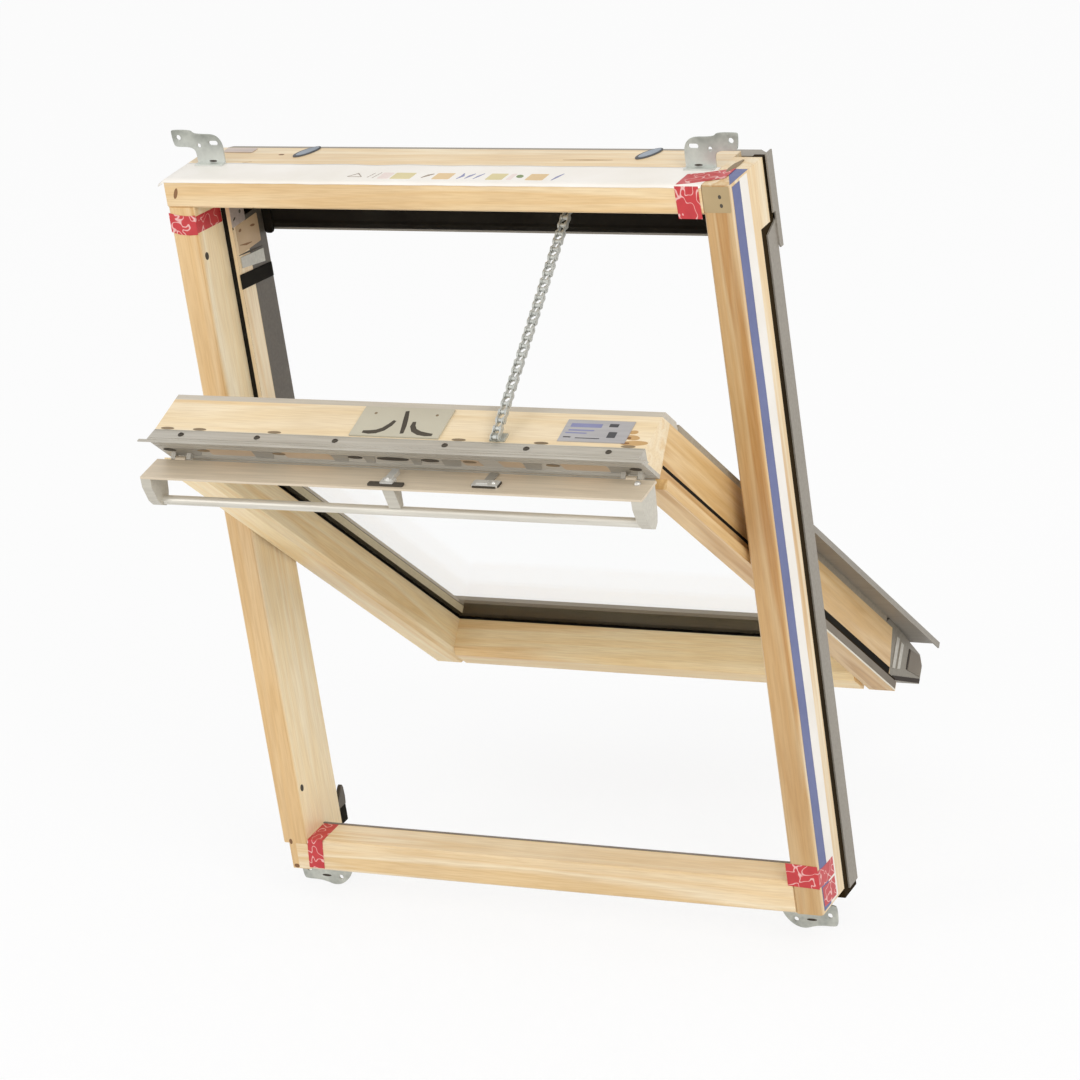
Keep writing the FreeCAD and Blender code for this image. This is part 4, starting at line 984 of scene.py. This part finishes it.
def add_bracket(side, level, line, holes, mark, look):
    """A bracket's plate with its foot on the frame, and the dark slot on the plate."""
    plate_line = bracket_loop(side, level, softened(line))
    plate_holes = [bracket_loop(side, level, hole) for hole in holes]
    plate = pierced(SEAT_BACK, plate_line, plate_holes, 0, SHEET_STEEL)
    ends = sorted(x for x, rise in bracket_loop(side, level, [line[0], line[-1]]))
    if level == "upper":
        ground = HEAD_TOP
    else:
        ground = UNDERSIDE
        ends = [-ends[1], -ends[0]]
    foot = raised(ground, rounded(ends[0], FOOT_FRONT, ends[1], FOOT_BACK, 1.5), 0.0, SHEET_STEEL)
    name = f"{level}_{side}_bracket"
    piece = add_piece(f"{name}_plate", "frame", join([plate, foot]), look, 0.3)
    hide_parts(name)
    dent = raised(SEAT_BACK, bracket_loop(side, level, mark), SHEET_STEEL, SHEET_STEEL + 0.3)
    add_piece(f"{name}_slot", "frame", dent, pit_dark)


for side in ("left", "right"):
    add_bracket(side, "upper", UPPER_LINE, UPPER_HOLES, UPPER_MARK, shaded_highlit_steel)
    add_bracket(side, "lower", LOWER_LINE, LOWER_HOLES, LOWER_MARK, steel)

# Foot corners: a low grey plate at the end of each jamb's cladding, on a black rubber foot.
CORNER_WIDE = 6
CORNER_LINE = [(96, 42), (115, 42), (116, 54), (115, 66), (113, 71), (109, 69), (96, 52)]
for side, low_x in (("left", FACE - CORNER_WIDE), ("right", WIDTH - FACE)):
    corner_patch = Patch((low_x, 0, 0), Y_AXIS, Z_AXIS)
    corner = raised(corner_patch, CORNER_LINE, 0.0, CORNER_WIDE)
    corner_piece = add_piece(f"{side}_foot_plate", "frame", corner, dark_cladding, 0.5)
    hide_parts(f"{side}_foot_corner")
    rubber = raised(corner_patch, rounded(96, 18, 114, 42, 1.5), 0.2, CORNER_WIDE - 0.2)
    add_piece(f"{side}_foot_rubber", "frame", rubber, seal, 0.5)

# Flap fittings: latch at the middle, clip with its strap right of it, pin at the right end.
latch_foot = raised(FLAP_TOP, rounded(366, -46, 414, -38, 1.5), 0.0, 2.6)
add_piece("flap_latch_foot", "flap", latch_foot, slot_dark, 0.4)
latch = join([
    raised(FLAP_TOP, rounded(382, -44, 400, -30, 2), 0.0, 4.0),
    raised(FLAP_TOP, rounded(386, -38, 396, -12, 2), 0.0, 6.0),
    dome(FLAP_TOP, 391, -36, 3.6, 7.6),
])
add_piece("flap_latch", "flap", latch, bright_steel, 0.3)
flap_strap = raised(FLAP_TOP, rounded(514, -24, 526, -4, 1.5), 0.0, 2.0)
add_piece("flap_clip_strap", "flap", flap_strap, slot_grey, 0.3)
clip_pieces = join([
    raised(FLAP_TOP, rounded(503, -38, 538, -24, 2), 0.0, 3.0),
    raised(FLAP_TOP, rounded(508, -35, 524, -27, 1.5), 3.0, 4.6),
    dome(FLAP_TOP, 531, -31, 3.4, 5.4),
])
add_piece("flap_clip", "flap", clip_pieces, bright_steel, 0.3)
# Dark strips along the clip's lower and right edges are painted shadow.
clip_edge_shadows = [rounded(505, -39.5, 536, -38, 0.6, 2), rounded(536.5, -37, 539, -25, 0.6, 2)]
add_piece("flap_clip_edge_shadows", "flap", many(FLAP_TOP, clip_edge_shadows, 0.0, 2.4), slot_dark)
add_piece("flap_pin", "flap", dome(FLAP_TOP, 712, -14, 4.2, 4), bright_steel, smooth=True)

camera_place = on_frame((2813.74, -4369.84, 2542.55))
camera_right = Vector((0.89725695, 0.41916107, -0.13868657))
camera_up = Vector((-0.04615103, 0.40144196, 0.91472096))
camera_axes = Matrix((camera_right, camera_up, camera_right.cross(camera_up))).transposed()
camera_data = bpy.data.cameras.new("camera")
camera_data.sensor_width = 36
camera_data.lens = 142.136
camera_data.clip_end = 100
camera = bpy.data.objects.new("camera", camera_data)
camera.matrix_world = Matrix.Translation(camera_place) @ camera_axes.to_4x4()
bpy.context.scene.collection.objects.link(camera)
bpy.context.scene.camera = camera


def seen_directly(tree):
    """One for rays that show the backdrop itself, also mirrored or through glass."""
    path = tree.nodes.new("ShaderNodeLightPath")
    total = path.outputs["Is Camera Ray"]
    for ray in ("Is Glossy Ray", "Is Transmission Ray"):
        larger = tree.nodes.new("ShaderNodeMath")
        larger.operation = "MAXIMUM"
        tree.links.new(total, larger.inputs[0])
        tree.links.new(path.outputs[ray], larger.inputs[1])
        total = larger.outputs[0]
    return total


def add_world(strength):
    """White surroundings that light the object at one strength and show as plain white."""
    world = bpy.data.worlds.new("studio")
    world.use_nodes = True
    tree = world.node_tree
    lit = tree.nodes["Background"]
    lit.inputs["Color"].default_value = (1, 1, 1, 1)
    lit.inputs["Strength"].default_value = strength
    shown = tree.nodes.new("ShaderNodeBackground")
    shown.inputs["Color"].default_value = (1, 1, 1, 1)
    blend = tree.nodes.new("ShaderNodeMixShader")
    tree.links.new(seen_directly(tree), blend.inputs[0])
    tree.links.new(lit.outputs[0], blend.inputs[1])
    tree.links.new(shown.outputs[0], blend.inputs[2])
    tree.links.new(blend.outputs[0], tree.nodes["World Output"].inputs["Surface"])
    bpy.context.scene.world = world


FLOOR_REACH = 40
FLOOR_GLOW = 0.86


def add_floor():
    """A white floor that keeps the object's shadow."""
    mesh = bpy.data.meshes.new("floor")
    far = FLOOR_REACH
    corners = [(-far, -far), (far, -far), (far, far), (-far, far)]
    level = on_frame((0, 0, FLOOR)).z
    mesh.from_pydata([(x, y, level) for x, y in corners], [], [[0, 1, 2, 3]])
    floor = bpy.data.objects.new("floor", mesh)
    bpy.context.scene.collection.objects.link(floor)
    material = bpy.data.materials.new("floor_white")
    material.use_nodes = True
    tree = material.node_tree
    tree.nodes.remove(tree.nodes["Principled BSDF"])
    paper = tree.nodes.new("ShaderNodeBsdfDiffuse")
    paper.inputs["Color"].default_value = (0.9, 0.9, 0.9, 1)
    glow = tree.nodes.new("ShaderNodeEmission")
    both = tree.nodes.new("ShaderNodeMixShader")
    share = tree.nodes.new("ShaderNodeMath")
    share.operation = "MULTIPLY"
    share.inputs[1].default_value = FLOOR_GLOW
    tree.links.new(seen_directly(tree), share.inputs[0])
    tree.links.new(share.outputs[0], both.inputs[0])
    tree.links.new(paper.outputs[0], both.inputs[1])
    tree.links.new(glow.outputs[0], both.inputs[2])
    tree.links.new(both.outputs[0], tree.nodes["Material Output"].inputs["Surface"])
    mesh.materials.append(material)


def add_lamp(name, place, target, size, power):
    """A round area lamp aimed at a target."""
    data = bpy.data.lights.new(name, "AREA")
    data.shape = "DISK"
    data.size = size
    data.energy = power
    lamp = bpy.data.objects.new(name, data)
    lamp.location = place
    lamp.rotation_euler = (Vector(target) - Vector(place)).to_track_quat("-Z", "Y").to_euler()
    bpy.context.scene.collection.objects.link(lamp)


add_world(0.80)
add_floor()
LAMP_TARGET = (0.35, 0, 0.5)
LAMP_SIZE = 2.4
add_lamp("key", (3.6, -2.4, 3.4), LAMP_TARGET, LAMP_SIZE, 70)
add_lamp("fill", (-2.6, -3.0, 2.2), LAMP_TARGET, LAMP_SIZE, 34)
bpy.context.scene.view_settings.view_transform = "Standard"
